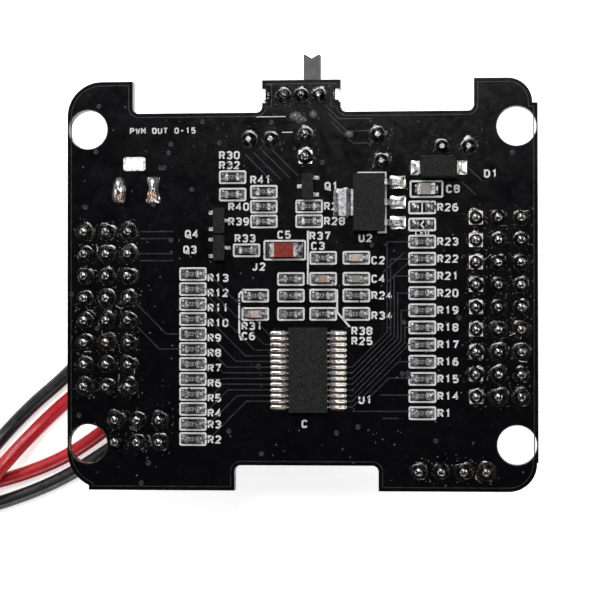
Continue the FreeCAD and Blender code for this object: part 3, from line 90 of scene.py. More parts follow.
def make_floor():
    side = FLOOR_HALF_SIDE * MM
    mesh = bpy.data.meshes.new("floor")
    corners = [(x * side, y * side, -FLOOR_DROP * MM) for x, y in ((-1, -1), (1, -1), (1, 1), (-1, 1))]
    mesh.from_pydata(corners, [], [(0, 1, 2, 3)])
    floor = bpy.data.objects.new("floor", mesh)
    bpy.context.scene.collection.objects.link(floor)
    material = plain_material("floor_white", 0.93, 0.7, Emission_Strength=FLOOR_GLOW)
    shader_of(material).inputs["Emission Color"].default_value = (1, 1, 1, 1)
    mesh.materials.append(material)


def make_lights():
    for name, (place, size, power) in LIGHTS.items():
        data = bpy.data.lights.new(name, "AREA")
        data.shape = "DISK"
        data.size = size * MM
        data.energy = power
        light = bpy.data.objects.new(name, data)
        bpy.context.scene.collection.objects.link(light)
        light.location = Vector(place) * MM
        aim = Vector(AIM) * MM - light.location
        light.rotation_euler = aim.to_track_quat("-Z", "Y").to_euler()


def make_world():
    """A studio room: dim overhead and bright near the horizon."""
    world = bpy.data.worlds.new("studio")
    world.use_nodes = True
    bpy.context.scene.world = world
    tree = world.node_tree
    place = tree.nodes.new("ShaderNodeTexCoord")
    split = tree.nodes.new("ShaderNodeSeparateXYZ")
    ramp = tree.nodes.new("ShaderNodeValToRGB")
    tree.links.new(place.outputs["Generated"], split.inputs["Vector"])
    tree.links.new(split.outputs["Z"], ramp.inputs["Fac"])
    tree.links.new(ramp.outputs["Color"], tree.nodes["Background"].inputs["Color"])
    ramp.color_ramp.elements[0].position = 0.0
    ramp.color_ramp.elements[0].color = (0.34, 0.345, 0.35, 1)
    ramp.color_ramp.elements[1].position = 0.85
    ramp.color_ramp.elements[1].color = (0.022, 0.022, 0.024, 1)


# ---------------------------------------------------------------- material helpers


def tint(value):
    """A colour from three numbers, or a grey from one."""
    return value if isinstance(value, tuple) else (value, value, value)


def plain_material(name, colour, roughness, **sockets):
    material = bpy.data.materials.new(name)
    material.use_nodes = True
    shader = material.node_tree.nodes["Principled BSDF"]
    shader.inputs["Base Color"].default_value = (*tint(colour), 1)
    shader.inputs["Roughness"].default_value = roughness
    for socket, value in sockets.items():
        shader.inputs[socket.replace("_", " ")].default_value = value
    return material


def shader_of(material):
    return material.node_tree.nodes["Principled BSDF"]


def add_node(material, kind, **inputs):
    """A shader node whose named inputs are set to a value or linked to another node's output."""
    node = material.node_tree.nodes.new("ShaderNode" + kind)
    for name, value in inputs.items():
        socket = node.inputs[name.replace("_", " ")]
        if isinstance(value, bpy.types.NodeSocket):
            material.node_tree.links.new(value, socket)
        else:
            socket.default_value = value
    return node


def place_in_mm(material, stretch=(1, 1, 1)):
    """The piece's own coordinates in millimetres, stretched by axis."""
    place = add_node(material, "TexCoord").outputs["Object"]
    return add_node(material, "Mapping", Scale=[s / MM for s in stretch], Vector=place).outputs["Vector"]


def noise(material, per_mm, detail=4.0, stretch=(1, 1, 1), distortion=0.0):
    place = place_in_mm(material, stretch)
    node = add_node(material, "TexNoise", Vector=place, Scale=per_mm, Detail=detail, Distortion=distortion)
    return node.outputs["Fac"]


def cells(material, per_mm):
    return add_node(material, "TexVoronoi", Vector=place_in_mm(material), Scale=per_mm).outputs["Distance"]


def waves(material, per_mm, axis, distortion, stretch):
    place = place_in_mm(material, stretch)
    node = add_node(material, "TexWave", Vector=place, Scale=per_mm, Distortion=distortion)
    node.bands_direction = axis
    return node.outputs["Fac"]


def colour_ramp(material, factor, *stops):
    """Colours by the factor's size, from (position, colour) pairs."""
    node = add_node(material, "ValToRGB", Fac=factor)
    elements = node.color_ramp.elements
    while len(elements) < len(stops):
        elements.new(0.5)
    for element, (position, colour) in zip(elements, stops):
        element.position = position
        element.color = (*tint(colour), 1)
    return node.outputs["Color"]


def spread(material, factor, low, high, start=0.3, end=0.7):
    """Turns the factor's stretch from start to end into low to high."""
    node = add_node(material, "MapRange", Value=factor, From_Min=start, From_Max=end, To_Min=low, To_Max=high)
    return node.outputs["Result"]


def mix_colours(material, factor, first, second):
    """Two colours, each an output or three numbers, mixed by a factor."""
    node = add_node(material, "Mix")
    node.data_type = "RGBA"
    for socket, value in ((node.inputs["Factor"], factor), (node.inputs[6], first), (node.inputs[7], second)):
        if isinstance(value, tuple):
            socket.default_value = (*value, 1)
        else:
            material.node_tree.links.new(value, socket)
    return node.outputs[2]


def add_heights(material, first, second, share):
    """first + second times share."""
    tree = material.node_tree
    node = add_node(material, "Math")
    node.operation = "MULTIPLY_ADD"
    tree.links.new(second, node.inputs[0])
    node.inputs[1].default_value = share
    tree.links.new(first, node.inputs[2])
    return node.outputs["Value"]


def set_colour(material, output):
    material.node_tree.links.new(output, shader_of(material).inputs["Base Color"])


def set_roughness(material, output):
    material.node_tree.links.new(output, shader_of(material).inputs["Roughness"])


def set_bump(material, height, depth):
    """depth is the height of the bumps in millimetres."""
    bump = add_node(material, "Bump", Height=height, Strength=1.0, Distance=depth * MM)
    material.node_tree.links.new(bump.outputs["Normal"], shader_of(material).inputs["Normal"])


def side_share(material):
    """1 on faces that stand upright in the part's frame, and 0 on flat ones."""
    split = add_node(material, "SeparateXYZ", Vector=add_node(material, "TexCoord").outputs["Normal"])
    flat = add_node(material, "Math")
    flat.operation = "ABSOLUTE"
    material.node_tree.links.new(split.outputs["Z"], flat.inputs[0])
    return spread(material, flat.outputs["Value"], 1.0, 0.0, 0.35, 0.65)


# ---------------------------------------------------------------- materials


def make_mask():
    """Black solder mask over laminate, with the bare laminate showing at the edges."""
    material = plain_material("board_mask", (0.003, 0.003, 0.004), 0.30, Specular_IOR_Level=0.10)
    mottle = noise(material, 0.22, 6.0)
    grain = noise(material, 7.0, 3.0)
    face = mix_colours(
        material, spread(material, grain, 0.0, 0.55),
        colour_ramp(material, mottle, (0.3, (0.0010, 0.0010, 0.0014)), (0.7, (0.0022, 0.0022, 0.0029))),
        (0.0035, 0.0035, 0.004),
    )
    layers = waves(material, 2.2, "Z", 2.5, (0.12, 0.12, 1))
    fibres = colour_ramp(
        material, layers,
        (0.1, (0.018, 0.014, 0.008)), (0.6, (0.060, 0.055, 0.030)), (0.9, (0.13, 0.12, 0.07)),
    )
    set_colour(material, mix_colours(material, side_share(material), face, fibres))
    smears = noise(material, 0.5, 8.0, (1, 1, 1), 1.2)
    set_roughness(material, spread(material, smears, 0.13, 0.25))
    set_bump(material, add_heights(material, noise(material, 3.5, 5.0), cells(material, 1.3), 0.35), 0.006)
    return material


def make_trace_mask():
    material = plain_material("trace_mask", (0.05, 0.05, 0.055), 0.30, Specular_IOR_Level=0.22)
    tone = colour_ramp(
        material, noise(material, 1.5, 4.0), (0.3, (0.008, 0.008, 0.009)), (0.7, (0.026, 0.026, 0.029))
    )
    set_colour(material, tone)
    set_roughness(material, spread(material, noise(material, 2.0, 4.0), 0.22, 0.42))
    set_bump(material, noise(material, 6.0, 4.0), 0.006)
    return material


def make_silk():
    material = plain_material("silk_ink", (0.70, 0.70, 0.69), 0.62)
    tone = colour_ramp(
        material, noise(material, 9.0, 5.0),
        (0.30, (0.34, 0.34, 0.33)), (0.55, (0.60, 0.60, 0.59)), (0.8, (0.74, 0.74, 0.73)),
    )
    set_colour(material, tone)
    set_roughness(material, spread(material, noise(material, 5.0, 4.0), 0.5, 0.8))
    set_bump(material, noise(material, 16.0, 4.0), 0.012)
    return material


def make_metal(name, colour, dark, roughness, bump_depth, grain=4.0, stretch=(1, 1, 1)):
    """A plated or tinned metal: tone, gloss and surface all vary with the same scale of grain."""
    material = plain_material(name, colour, roughness, Metallic=1.0)
    patches = noise(material, grain * 0.4, 6.0, stretch, 0.6)
    set_colour(material, colour_ramp(material, patches, (0.3, dark), (0.62, colour)))
    gloss = noise(material, grain, 5.0, stretch)
    set_roughness(material, spread(material, gloss, roughness * 0.6, roughness * 1.5))
    set_bump(material, noise(material, grain * 0.9, 3.0, stretch), bump_depth)
    return material


def make_plastic(name, colour, other, roughness, grain=3.0, bump_depth=0.01, **sockets):
    """Moulded plastic or rubber with a fine surface and slight colour variation."""
    material = plain_material(name, colour, roughness, **sockets)
    patches = noise(material, grain * 0.3, 6.0)
    set_colour(material, colour_ramp(material, patches, (0.3, colour), (0.72, other)))
    gloss = noise(material, grain, 5.0)
    set_roughness(material, spread(material, gloss, roughness * 0.75, min(1.0, roughness * 1.3)))
    set_bump(material, noise(material, grain * 4.0, 4.0), bump_depth)
    return material


def make_chip_black():
    """Epoxy moulding compound: fine light filler specks in dark grey."""
    material = plain_material("chip_black", (0.010, 0.010, 0.010), 0.62, Specular_IOR_Level=0.18)
    specks = colour_ramp(
        material, cells(material, 4.5),
        (0.08, (0.030, 0.030, 0.031)), (0.30, (0.009, 0.009, 0.0095)), (0.7, (0.002, 0.002, 0.0022)),
    )
    set_colour(material, specks)
    set_roughness(material, spread(material, noise(material, 8.0, 5.0), 0.48, 0.74))
    set_bump(material, noise(material, 12.0, 5.0), 0.010)
    return material


def make_rosin():
    """Baked rosin round the joints: dark brown and very glossy."""
    material = plain_material("flux", (0.006, 0.005, 0.004), 0.12, Coat_Weight=0.4, Coat_Roughness=0.06)
    tone = colour_ramp(
        material, noise(material, 1.6, 6.0), (0.35, (0.004, 0.004, 0.004)), (0.72, (0.014, 0.009, 0.006))
    )
    set_colour(material, tone)
    set_roughness(material, spread(material, noise(material, 3.0, 4.0), 0.08, 0.30))
    set_bump(material, noise(material, 2.5, 5.0), 0.03)
    return material


METALS = {
    # finish: name, colour, dark patches, roughness, bump depth, grain per mm and stretch
    "solder": ("solder", (0.19, 0.193, 0.20), 0.012, 0.17, 0.06, 3.2),
    "streaky": ("streaky_solder", (0.74, 0.74, 0.75), (0.05, 0.045, 0.04), 0.20, 0.08, 3.0, (1.6, 0.4, 1)),
    "tinned": ("tinned_lead", (0.42, 0.42, 0.43), (0.09, 0.085, 0.085), 0.32, 0.02, 6.0),
    "pad_tin": ("pad_tin", (0.80, 0.79, 0.76), (0.50, 0.44, 0.36), 0.32, 0.015, 2.5),
    "dull_tin": ("dull_tin", (0.26, 0.26, 0.265), 0.015, 0.34, 0.03, 6.0),
    "tip_tin": ("tip_tin", (0.34, 0.34, 0.335), (0.05, 0.05, 0.048), 0.22, 0.03, 5.0),
    "pin": ("pin_metal", (0.82, 0.70, 0.42), (0.60, 0.47, 0.24), 0.24, 0.008, 5.0, (1, 1, 0.2)),
    "shell": ("switch_tin", (0.62, 0.62, 0.63), (0.40, 0.40, 0.41), 0.30, 0.008, 6.0, (0.25, 1, 1)),
    "shield": ("shield_metal", (0.72, 0.72, 0.73), (0.58, 0.58, 0.59), 0.34, 0.006, 6.0, (0.2, 1, 1)),
    "can": ("can_aluminium", (0.80, 0.80, 0.81), (0.68, 0.68, 0.69), 0.30, 0.006, 8.0, (1, 1, 0.15)),
    "copper": ("copper_core", (0.80, 0.56, 0.38), (0.55, 0.33, 0.20), 0.30, 0.02, 5.0),
}
PLASTICS = {
    # finish: name, colour, other colour, roughness, grain per mm and bump depth
    "coated": ("coated_blob", (0.075, 0.073, 0.068), (0.13, 0.125, 0.115), 0.30, 0.8, 0.02),
    "brown_flux": ("brown_flux", (0.045, 0.018, 0.008), (0.012, 0.008, 0.006), 0.25, 3.0, 0.02),
    "faint_ink": ("faint_ink", (0.20, 0.20, 0.19), (0.34, 0.34, 0.33), 0.55),
    "knob": ("knob_plastic", 0.055, 0.085, 0.55, 3.0, 0.012),
    "strip_black": ("strip_black", (0.016, 0.016, 0.017), (0.026, 0.026, 0.027), 0.48),
    "strip_red": ("strip_red", (0.46, 0.018, 0.018), (0.58, 0.03, 0.025), 0.45),
    "strip_yellow": ("strip_yellow", (0.75, 0.50, 0.02), (0.86, 0.60, 0.05), 0.45),
    "wire_red": ("wire_red", (0.36, 0.005, 0.010), (0.47, 0.010, 0.016), 0.34, 1.5, 0.008),
    "wire_black": ("wire_black", (0.008, 0.008, 0.009), (0.016, 0.016, 0.017), 0.33, 1.5, 0.008),
    "sleeve": ("sleeve_plastic", (0.012, 0.016, 0.035), (0.020, 0.026, 0.05), 0.30, 1.5, 0.01),
    "rubber": ("bung_rubber", 0.018, 0.03, 0.75),
    "phenolic": ("phenolic", (0.10, 0.045, 0.02), (0.16, 0.08, 0.04), 0.60),
    "fuse": ("fuse_yellow", (0.70, 0.42, 0.03), (0.82, 0.52, 0.07), 0.35, 0.8, 0.03),
    "module": ("module_board", (0.010, 0.022, 0.075), (0.015, 0.032, 0.10), 0.35, 0.8, 0.01),
    "glaze": ("resistor_glaze", (0.007, 0.007, 0.0075), (0.017, 0.0165, 0.016), 0.42, 5.0, 0.02),
    "brown_ceramic": ("ceramic_brown", (0.20, 0.115, 0.08), (0.32, 0.21, 0.16), 0.42, 4.0, 0.01),
    "pink_ceramic": ("ceramic_pink", (0.28, 0.20, 0.17), (0.46, 0.35, 0.31), 0.42, 8.0, 0.01),
    "grey_ceramic": ("ceramic_grey", (0.13, 0.115, 0.10), (0.24, 0.215, 0.19), 0.40, 4.0, 0.01),
    "orange_ceramic": ("ceramic_orange", (0.09, 0.009, 0.004), (0.24, 0.028, 0.011), 0.55, 8.0, 0.02),
}
PLASTIC_SOCKETS = {
    "coated": {"Metallic": 0.35},
    "glaze": {"Specular_IOR_Level": 0.25},
    "orange_ceramic": {"Specular_IOR_Level": 0.25},
}


def make_materials():
    found = {
        "mask": make_mask(),
        "trace": make_trace_mask(),
        "silk": make_silk(),
        "flux": make_rosin(),
        "chip": make_chip_black(),
    }
    for finish, values in METALS.items():
        found[finish] = make_metal(*values)
    for finish, values in PLASTICS.items():
        found[finish] = make_plastic(*values, **PLASTIC_SOCKETS.get(finish, {}))
    return found


FINISH = {
    "mask": ["pcb"],
    "strip_yellow": ["left_signal_strip", "right_signal_strip"],
    "strip_red": ["left_power_strip", "right_power_strip"],
    "strip_black": [
        "left_ground_strip", "right_ground_strip", "port_header_strip", "serial_header_strip",
        "link_header_strip", "plug_housing", "polymer_bases",
    ],
    "pin": ["left_header_pins", "right_header_pins", "small_header_pins", "plug_contacts"],
    "solder": [
        "left_header_joints", "right_header_joints", "small_header_joints", "switch_joints", "single_joints",
        "lead_joints", "wifi_joints",
    ],
    "shell": ["switch_shell"],
    "phenolic": ["switch_base"],
    "tinned": [
        "switch_terminals", "driver_chip_leads", "regulator_leads", "diode_terminals", "transistor_leads",
        "left_resistor_ends", "right_resistor_ends", "centre_resistor_ends", "ceramic_ends",
        "large_capacitor_ends", "radial_leads", "polymer_terminals", "fuse_leads",
    ],
    "knob": ["switch_slider"],
    "copper": ["switch_contact", "lead_cores"],
    "chip": ["driver_chip_body", "regulator_body", "diode_body", "transistor_bodies"],
    "glaze": ["left_resistor_bodies", "right_resistor_bodies", "centre_resistor_bodies"],
    "brown_ceramic": ["ceramic_bodies"],
    "orange_ceramic": ["large_capacitor_body"],
    "module": ["wifi_board"],
    "shield": ["wifi_shield"],
    "can": ["radial_cans", "polymer_cans"],
    "sleeve": ["radial_sleeves"],
    "rubber": ["radial_bungs"],
    "fuse": ["fuse_disc"],
}


def paint(node, material):
    mesh = nodes[node].data
    if not mesh.materials:
        mesh.materials.append(material)
    for index in range(len(mesh.materials)):
        mesh.materials[index] = material


CERAMIC_TONES = {"C8": "grey_ceramic", "C2": "pink_ceramic", "C3": "brown_ceramic", "C4": "grey_ceramic",
                 "C6": "pink_ceramic"}


def tint_ceramics():
    """Gives each of the small ceramic capacitors its own fired colour."""
    mesh = nodes["ceramic_bodies"].data
    tones = sorted(set(CERAMIC_TONES.values()))
    mesh.materials.clear()
    for tone in tones:
        mesh.materials.append(stuff[tone])
    for polygon in mesh.polygons:
        place = polygon.center / MM
        nearest = min(CERAMIC_TONES, key=lambda name: math.dist(centre(PARTS[name])[:2], place[:2]))
        polygon.material_index = tones.index(CERAMIC_TONES[nearest])


# ---------------------------------------------------------------- mesh helpers


class Mesh:
    """Points in millimetres and faces, gathered for one piece."""

    def __init__(self):
        self.points = []
        self.faces = []

    def add(self, points, faces):
        start = len(self.points)
        self.points.extend(points)
        self.faces.extend(tuple(start + i for i in face) for face in faces)

    def piece(self, name, material, body="board", smooth=False):
        mesh = bpy.data.meshes.new(name)
        mesh.from_pydata([(x * MM, y * MM, z * MM) for x, y, z in self.points], [], self.faces)
        mesh.materials.append(material)
        mesh.validate()
        mesh.update()
        if smooth:
            mesh.polygons.foreach_set("use_smooth", [True] * len(mesh.polygons))
        made = bpy.data.objects.new(name, mesh)
        bpy.context.scene.collection.objects.link(made)
        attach(made, body)
        return made


def islands(node):
    """The box (low, high) in millimetres of each separate solid in a CAD node, top row first."""
    mesh = nodes[node].data
    owner = {}
    keys = [tuple(round(c, 7) for c in v.co) for v in mesh.vertices]
    for key in keys:
        owner.setdefault(key, key)

    def root(key):
        while owner[key] != key:
            owner[key] = owner[owner[key]]
            key = owner[key]
        return key

    for polygon in mesh.polygons:
        first = root(keys[polygon.vertices[0]])
        for vertex in polygon.vertices[1:]:
            owner[root(keys[vertex])] = first
    boxes = {}
    for key in owner:
        boxes.setdefault(root(key), []).append(key)
    found = []
    for points in boxes.values():
        low = Vector([min(p[i] for p in points) for i in range(3)]) / MM
        high = Vector([max(p[i] for p in points) for i in range(3)]) / MM
        found.append((low, high))
    return sorted(found, key=lambda box: (-round(box[0].y, 1), box[0].x))


def centre(box):
    return (box[0] + box[1]) / 2


# The designators of the solid parts in each node, top row first and left to right along a row.
PART_NAMES = {
    "left_resistor_bodies": [f"R{number}" for number in range(13, 1, -1)],
    "right_resistor_bodies": [f"R{number}" for number in range(23, 13, -1)] + ["R1"],
    "centre_resistor_bodies": [
        "R30", "R41", "R32", "R40", "R27", "R39", "R28", "R33", "R37", "R29", "R31", "R35", "R38",
        "R24", "R36", "R25", "R34",
    ],
    "ceramic_bodies": ["C8", "C2", "C3", "C4", "C6"],
    "transistor_bodies": ["Q1", "Q4", "Q3"],
    "large_capacitor_body": ["C5"],
    "driver_chip_body": ["U1"],
    "regulator_body": ["U2"],
    "diode_body": ["D1"],
}
PIN_NODES = ["left_header_pins", "right_header_pins", "small_header_pins", "switch_joints", "single_joints"]


def name_parts():
    """The box of each part by its designator."""
    found = {}
    for node, names in PART_NAMES.items():
        boxes = islands(node)
        if len(boxes) != len(names):
            raise ValueError(f"{node} has {len(boxes)} parts and {len(names)} names")
        found.update(zip(names, boxes))
    return found


PARTS = name_parts()
PINS = {node: [tuple(centre(box)[:2]) for box in islands(node)] for node in PIN_NODES}


def beside(name, across, up):
    """A point at a distance from the middle of a named part."""
    middle = centre(PARTS[name])
    return middle.x + across, middle.y + up


# Room kept free to the right of each part, where its label stands.
LABEL_ROOM = 2.4


def clear_of_parts(x, y, margin):
    """Whether a point lies clear of every pin, every named part and the label to its right."""
    for low, high in PARTS.values():
        if low.x - margin < x < high.x + margin + LABEL_ROOM and low.y - margin < y < high.y + margin:
            return False
    return all(math.dist((x, y), pin) > margin + 0.4 for pins in PINS.values() for pin in pins)


# Two empty places carry the right column of resistors on upwards, at its own pitch.
COLUMN_PITCH = centre(PARTS["R23"]).y - centre(PARTS["R22"]).y
EMPTY_PLACES = [beside("R23", 0, 2 * COLUMN_PITCH), beside("R23", 0, COLUMN_PITCH)]


def rounded_rectangle(x, y, width, height, radius, steps=4):
    """Corner-rounded outline points, counter-clockwise."""
    outline = []
    for corner, (side, rise) in enumerate(((1, 1), (-1, 1), (-1, -1), (1, -1))):
        for step in range(steps + 1):
            angle = math.pi / 2 * (corner + step / steps)
            outline.append((
                x + side * (width / 2 - radius) + radius * math.cos(angle),
                y + rise * (height / 2 - radius) + radius * math.sin(angle),
            ))
    return outline


def circle(x, y, radius, steps):
    angles = [2 * math.pi * i / steps for i in range(steps)]
    return [(x + radius * math.cos(angle), y + radius * math.sin(angle)) for angle in angles]


def band(mesh, path, width, low, high, closed=False, slope=0.3):
    """A raised line along a path, its top narrower than its foot."""
    count = len(path)
    rows = []
    for i, (x, y) in enumerate(path):
        before = path[i - 1] if closed or i else None
        after = path[(i + 1) % count] if closed or i < count - 1 else None
        into = Vector((x - before[0], y - before[1])).normalized() if before else None
        out = Vector((after[0] - x, after[1] - y)).normalized() if after else None
        into = into or out
        out = out or into
        along = (into + out).normalized()
        reach = 1 / max(0.5, along.dot(out))
        side = Vector((-along.y, along.x)) * reach * width / 2
        top = side * (1 - slope)
        rows.append([
            (x + side.x, y + side.y, low), (x + top.x, y + top.y, high),
            (x - top.x, y - top.y, high), (x - side.x, y - side.y, low),
        ])
    points = [p for row in rows for p in row]
    faces = []
    for i in range(count if closed else count - 1):
        a, b = 4 * i, 4 * ((i + 1) % count)
        faces += [(a + k, b + k, b + k + 1, a + k + 1) for k in range(3)]
    if not closed:
        last = 4 * (count - 1)
        faces += [(0, 1, 2, 3), (last + 3, last + 2, last + 1, last)]
    mesh.add(points, faces)


PLATE_INSET = 0.04


def plate(mesh, outline, low, high):
    """A flat raised patch with sloping sides."""
    count = len(outline)
    middle = (sum(p[0] for p in outline) / count, sum(p[1] for p in outline) / count)
    points = [(x, y, low) for x, y in outline]
    for x, y in outline:
        away = Vector((x - middle[0], y - middle[1]))
        pull = away.normalized() * min(PLATE_INSET, away.length / 2)
        points.append((x - pull.x, y - pull.y, high))
    faces = [(i, (i + 1) % count, count + (i + 1) % count, count + i) for i in range(count)]
    faces.append(tuple(range(count, 2 * count)))
    mesh.add(points, faces)


def lathe(mesh, x, y, profile, segments=20, wobble=0.0, stretch=(1.0, 1.0), lean=(0.0, 0.0)):
    """A turned shape from (radius, height) pairs, with an uneven outline where wobble is set."""
    phase = [chance.uniform(0, 2 * math.pi) for _ in range(3)]
    size = [chance.uniform(0, wobble) for _ in range(3)]
    top = max(z for _, z in profile)
    foot = profile[0][1]
    points = []
    for radius, z in profile:
        rise = (z - foot) / max(1e-6, top - foot)
        for i in range(segments):
            angle = 2 * math.pi * i / segments
            uneven = 1 + sum(
                s * math.sin((k + 2) * angle + p + 2 * rise) for k, (s, p) in enumerate(zip(size, phase))
            )
            r = radius * (uneven if rise < 0.8 else 1)
            points.append((
                x + stretch[0] * r * math.cos(angle) + lean[0] * rise,
                y + stretch[1] * r * math.sin(angle) + lean[1] * rise,
                z,
            ))
    faces = []
    for row in range(len(profile) - 1):
        for i in range(segments):
            a, b = row * segments + i, row * segments + (i + 1) % segments
            faces.append((a, b, b + segments, a + segments))
    faces.append(tuple(range((len(profile) - 1) * segments, len(profile) * segments)))
    mesh.add(points, faces)


def ring(mesh, x, y, inner, outer, low, high, steps):
    """A flat raised ring."""
    points = []
    for radius, z in ((outer, low), (outer - 0.02, high), (inner + 0.02, high), (inner, low)):
        points += [(px, py, z) for px, py in circle(x, y, radius, steps)]
    faces = []
    for row in range(3):
        for i in range(steps):
            a, b = row * steps + i, row * steps + (i + 1) % steps
            faces.append((a, b, b + steps, a + steps))
    mesh.add(points, faces)


# ---------------------------------------------------------------- the two wires

WIRE_RADIUS = 0.85
BLACK_ROUTE = [
    (-21.00, 9.40, 11.40), (-21.00, 9.40, 6.60), (-21.10, 6.40, 2.30), (-21.30, 1.40, 0.85),
    (-22.70, -3.60, 0.85), (-25.80, -8.20, 0.85), (-29.80, -12.40, 0.85), (-33.90, -15.80, 0.85),
    (-37.80, -19.90, 0.95), (-41.30, -24.70, 3.40), (-45.90, -31.00, 3.40), (-48.60, -37.60, 0.85),
    (-53.80, -39.90, 0.85), (-58.60, -37.00, 0.85), (-58.20, -31.60, 0.85), (-53.00, -29.20, 0.85),
    (-46.00, -29.60, 0.85), (-40.00, -28.40, 0.85), (-34.10, -26.45, 0.85), (-29.60, -24.45, 0.85),
    (-25.00, -21.60, 0.85), (-20.60, -18.50, 0.85), (-16.08, -15.86, 1.27), (-12.47, -13.34, 1.27),
]
RED_ROUTE = [
    (-17.00, 9.40, 11.40), (-17.00, 9.40, 6.60), (-17.60, 6.30, 2.30), (-18.40, 1.30, 0.85),
    (-19.40, -3.90, 0.85), (-21.90, -8.40, 0.85), (-25.60, -12.20, 0.85), (-29.80, -15.40, 0.85),
    (-33.40, -18.80, 0.95), (-37.20, -23.20, 3.20), (-42.60, -29.80, 3.40), (-45.60, -36.60, 0.85),
    (-49.40, -41.60, 0.85), (-55.40, -42.40, 0.85), (-60.20, -38.60, 0.85), (-61.20, -32.60, 0.85),
    (-57.60, -27.60, 0.85), (-51.00, -26.20, 0.85), (-44.40, -26.60, 0.85), (-38.00, -25.10, 0.85),
    (-33.80, -23.80, 0.85), (-29.60, -22.00, 0.85), (-25.40, -19.20, 0.85), (-21.60, -16.00, 0.85),
    (-17.53, -13.78, 1.27), (-13.93, -11.26, 1.27),
]


def make_wire(name, route, material, node):
    curve = bpy.data.curves.new(name, "CURVE")
    curve.dimensions = "3D"
    spline = curve.splines.new("NURBS")
    spline.points.add(len(route) - 1)
    for point, place in zip(spline.points, route):
        point.co = (place[0] * MM, place[1] * MM, place[2] * MM, 1)
    spline.order_u = 3
    spline.use_endpoint_u = True
    curve.resolution_u = 12
    curve.bevel_depth = WIRE_RADIUS * MM
    curve.bevel_resolution = 8
    curve.use_fill_caps = True
    curve.materials.append(material)
    wire = bpy.data.objects.new(name, curve)
    bpy.context.scene.collection.objects.link(wire)
    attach(wire, "board")
    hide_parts(node)


# ---------------------------------------------------------------- board outline

EDGE_LINE_INSET = 0.45
EDGE_HEIGHT = 0.03
HOLE_RIM_WIDTH = 0.12
POUR_EDGE_WIDTH = 0.12
SLOT_RIM_WIDTH = 0.26
SLOT_RIM_HEIGHT = 0.04


def top_loops():
    """The closed edges of the board's upper face as lists of (x, y) in millimetres, the longest first."""
    mesh = nodes["pcb"].data
    places = [tuple(round(c / MM, 4) for c in v.co) for v in mesh.vertices]
    edges = set()
    for polygon in mesh.polygons:
        corners = [places[v] for v in polygon.vertices]
        if all(abs(c[2] - BOARD_TOP) < 0.001 for c in corners):
            for a, b in zip(corners, corners[1:] + corners[:1]):
                if (b[:2], a[:2]) in edges:
                    edges.remove((b[:2], a[:2]))
                else:
                    edges.add((a[:2], b[:2]))
    after = dict(sorted(edges))
    loops = []
    while after:
        start, point = after.popitem()
        loop = [start, point]
        while point in after:
            point = after.pop(point)
            loop.append(point)
        if loop[0] == loop[-1]:
            loop.pop()
        loops.append(loop)
    return sorted(loops, key=lambda loop: -sum(math.dist(a, b) for a, b in zip(loop, loop[1:] + loop[:1])))


def shifted(loop, distance):
    """A loop moved to its left by a distance, corner by corner."""
    moved = []
    for before, here, after in zip(loop[-1:] + loop[:-1], loop, loop[1:] + loop[:1]):
        into = Vector((here[0] - before[0], here[1] - before[1])).normalized()
        out = Vector((after[0] - here[0], after[1] - here[1])).normalized()
        along = into + out
        if along.length < 1e-6:
            continue
        along.normalize()
        reach = distance / max(0.6, along.dot(out))
        moved.append((here[0] - along.y * reach, here[1] + along.x * reach))
    return moved


def inside(loop, x, y):
    crossings = False
    for (ax, ay), (bx, by) in zip(loop, loop[1:] + loop[:1]):
        if (ay > y) != (by > y) and x < ax + (y - ay) / (by - ay) * (bx - ax):
            crossings = not crossings
    return crossings


def span(loop):
    xs = [p[0] for p in loop]
    ys = [p[1] for p in loop]
    return max(xs) - min(xs), max(ys) - min(ys), (max(xs) + min(xs)) / 2, (max(ys) + min(ys)) / 2


def on_board(x, y):
    """Whether a point lies on the upper face, clear of its edge and of the large holes."""
    if not inside(SAFE_OUTLINE, x, y):
        return False
    return not any(math.dist((x, y), (hx, hy)) < radius + 0.25 for hx, hy, radius in LARGE_HOLES)


LOOPS = top_loops()
SAFE_OUTLINE = shifted(LOOPS[0], 0.3)
LARGE_HOLES = []
for loop in LOOPS[1:]:
    hole_width, hole_height, hole_x, hole_y = span(loop)
    if hole_width > 1.2:
        LARGE_HOLES.append((hole_x, hole_y, max(hole_width, hole_height) / 2))


def make_edge_lines(trace, solder):
    """The step where the copper pour ends near the board's edge, and the rims of the open holes."""
    border = Mesh()
    path = shifted(LOOPS[0], EDGE_LINE_INSET)
    band(border, path, POUR_EDGE_WIDTH, BOARD_TOP, BOARD_TOP + EDGE_HEIGHT, closed=True)
    border.piece("pour_edge", trace)
    rims = Mesh()
    slot_rim = Mesh()
    for loop in LOOPS[1:]:
        width, _, x, y = span(loop)
        if width > 4:
            ring(rims, x, y, width / 2, width / 2 + HOLE_RIM_WIDTH, BOARD_TOP, BOARD_TOP + EDGE_HEIGHT, 64)
        elif width > 2:
            path = shifted(loop, -SLOT_RIM_WIDTH / 2)
            band(slot_rim, path, SLOT_RIM_WIDTH, BOARD_TOP, BOARD_TOP + SLOT_RIM_HEIGHT, closed=True)
    rims.piece("hole_rims", trace)
    slot_rim.piece("slot_rim", solder)


# ---------------------------------------------------------------- solder, pads and flux

JOINT_PROFILE = [
    (0.80, 0.0), (0.79, 0.10), (0.74, 0.26), (0.65, 0.44), (0.54, 0.62), (0.44, 0.80), (0.37, 0.96),
    (0.30, 1.05), (0.16, 1.08),
]
TIP_PROFILE = [(0.47, 1.00), (0.47, 1.30), (0.41, 1.41), (0.24, 1.47), (0.07, 1.49)]
BLOB_PROFILE = [(1.0, 0.0), (0.98, 0.18), (0.88, 0.42), (0.68, 0.66), (0.42, 0.86), (0.18, 0.97), (0.05, 1.0)]
LAND_SIDE = 1.60
LAND_CORNER = 0.08
PAD_HALF_LENGTH = 1.34
PAD_HALF_WIDTH = 0.49


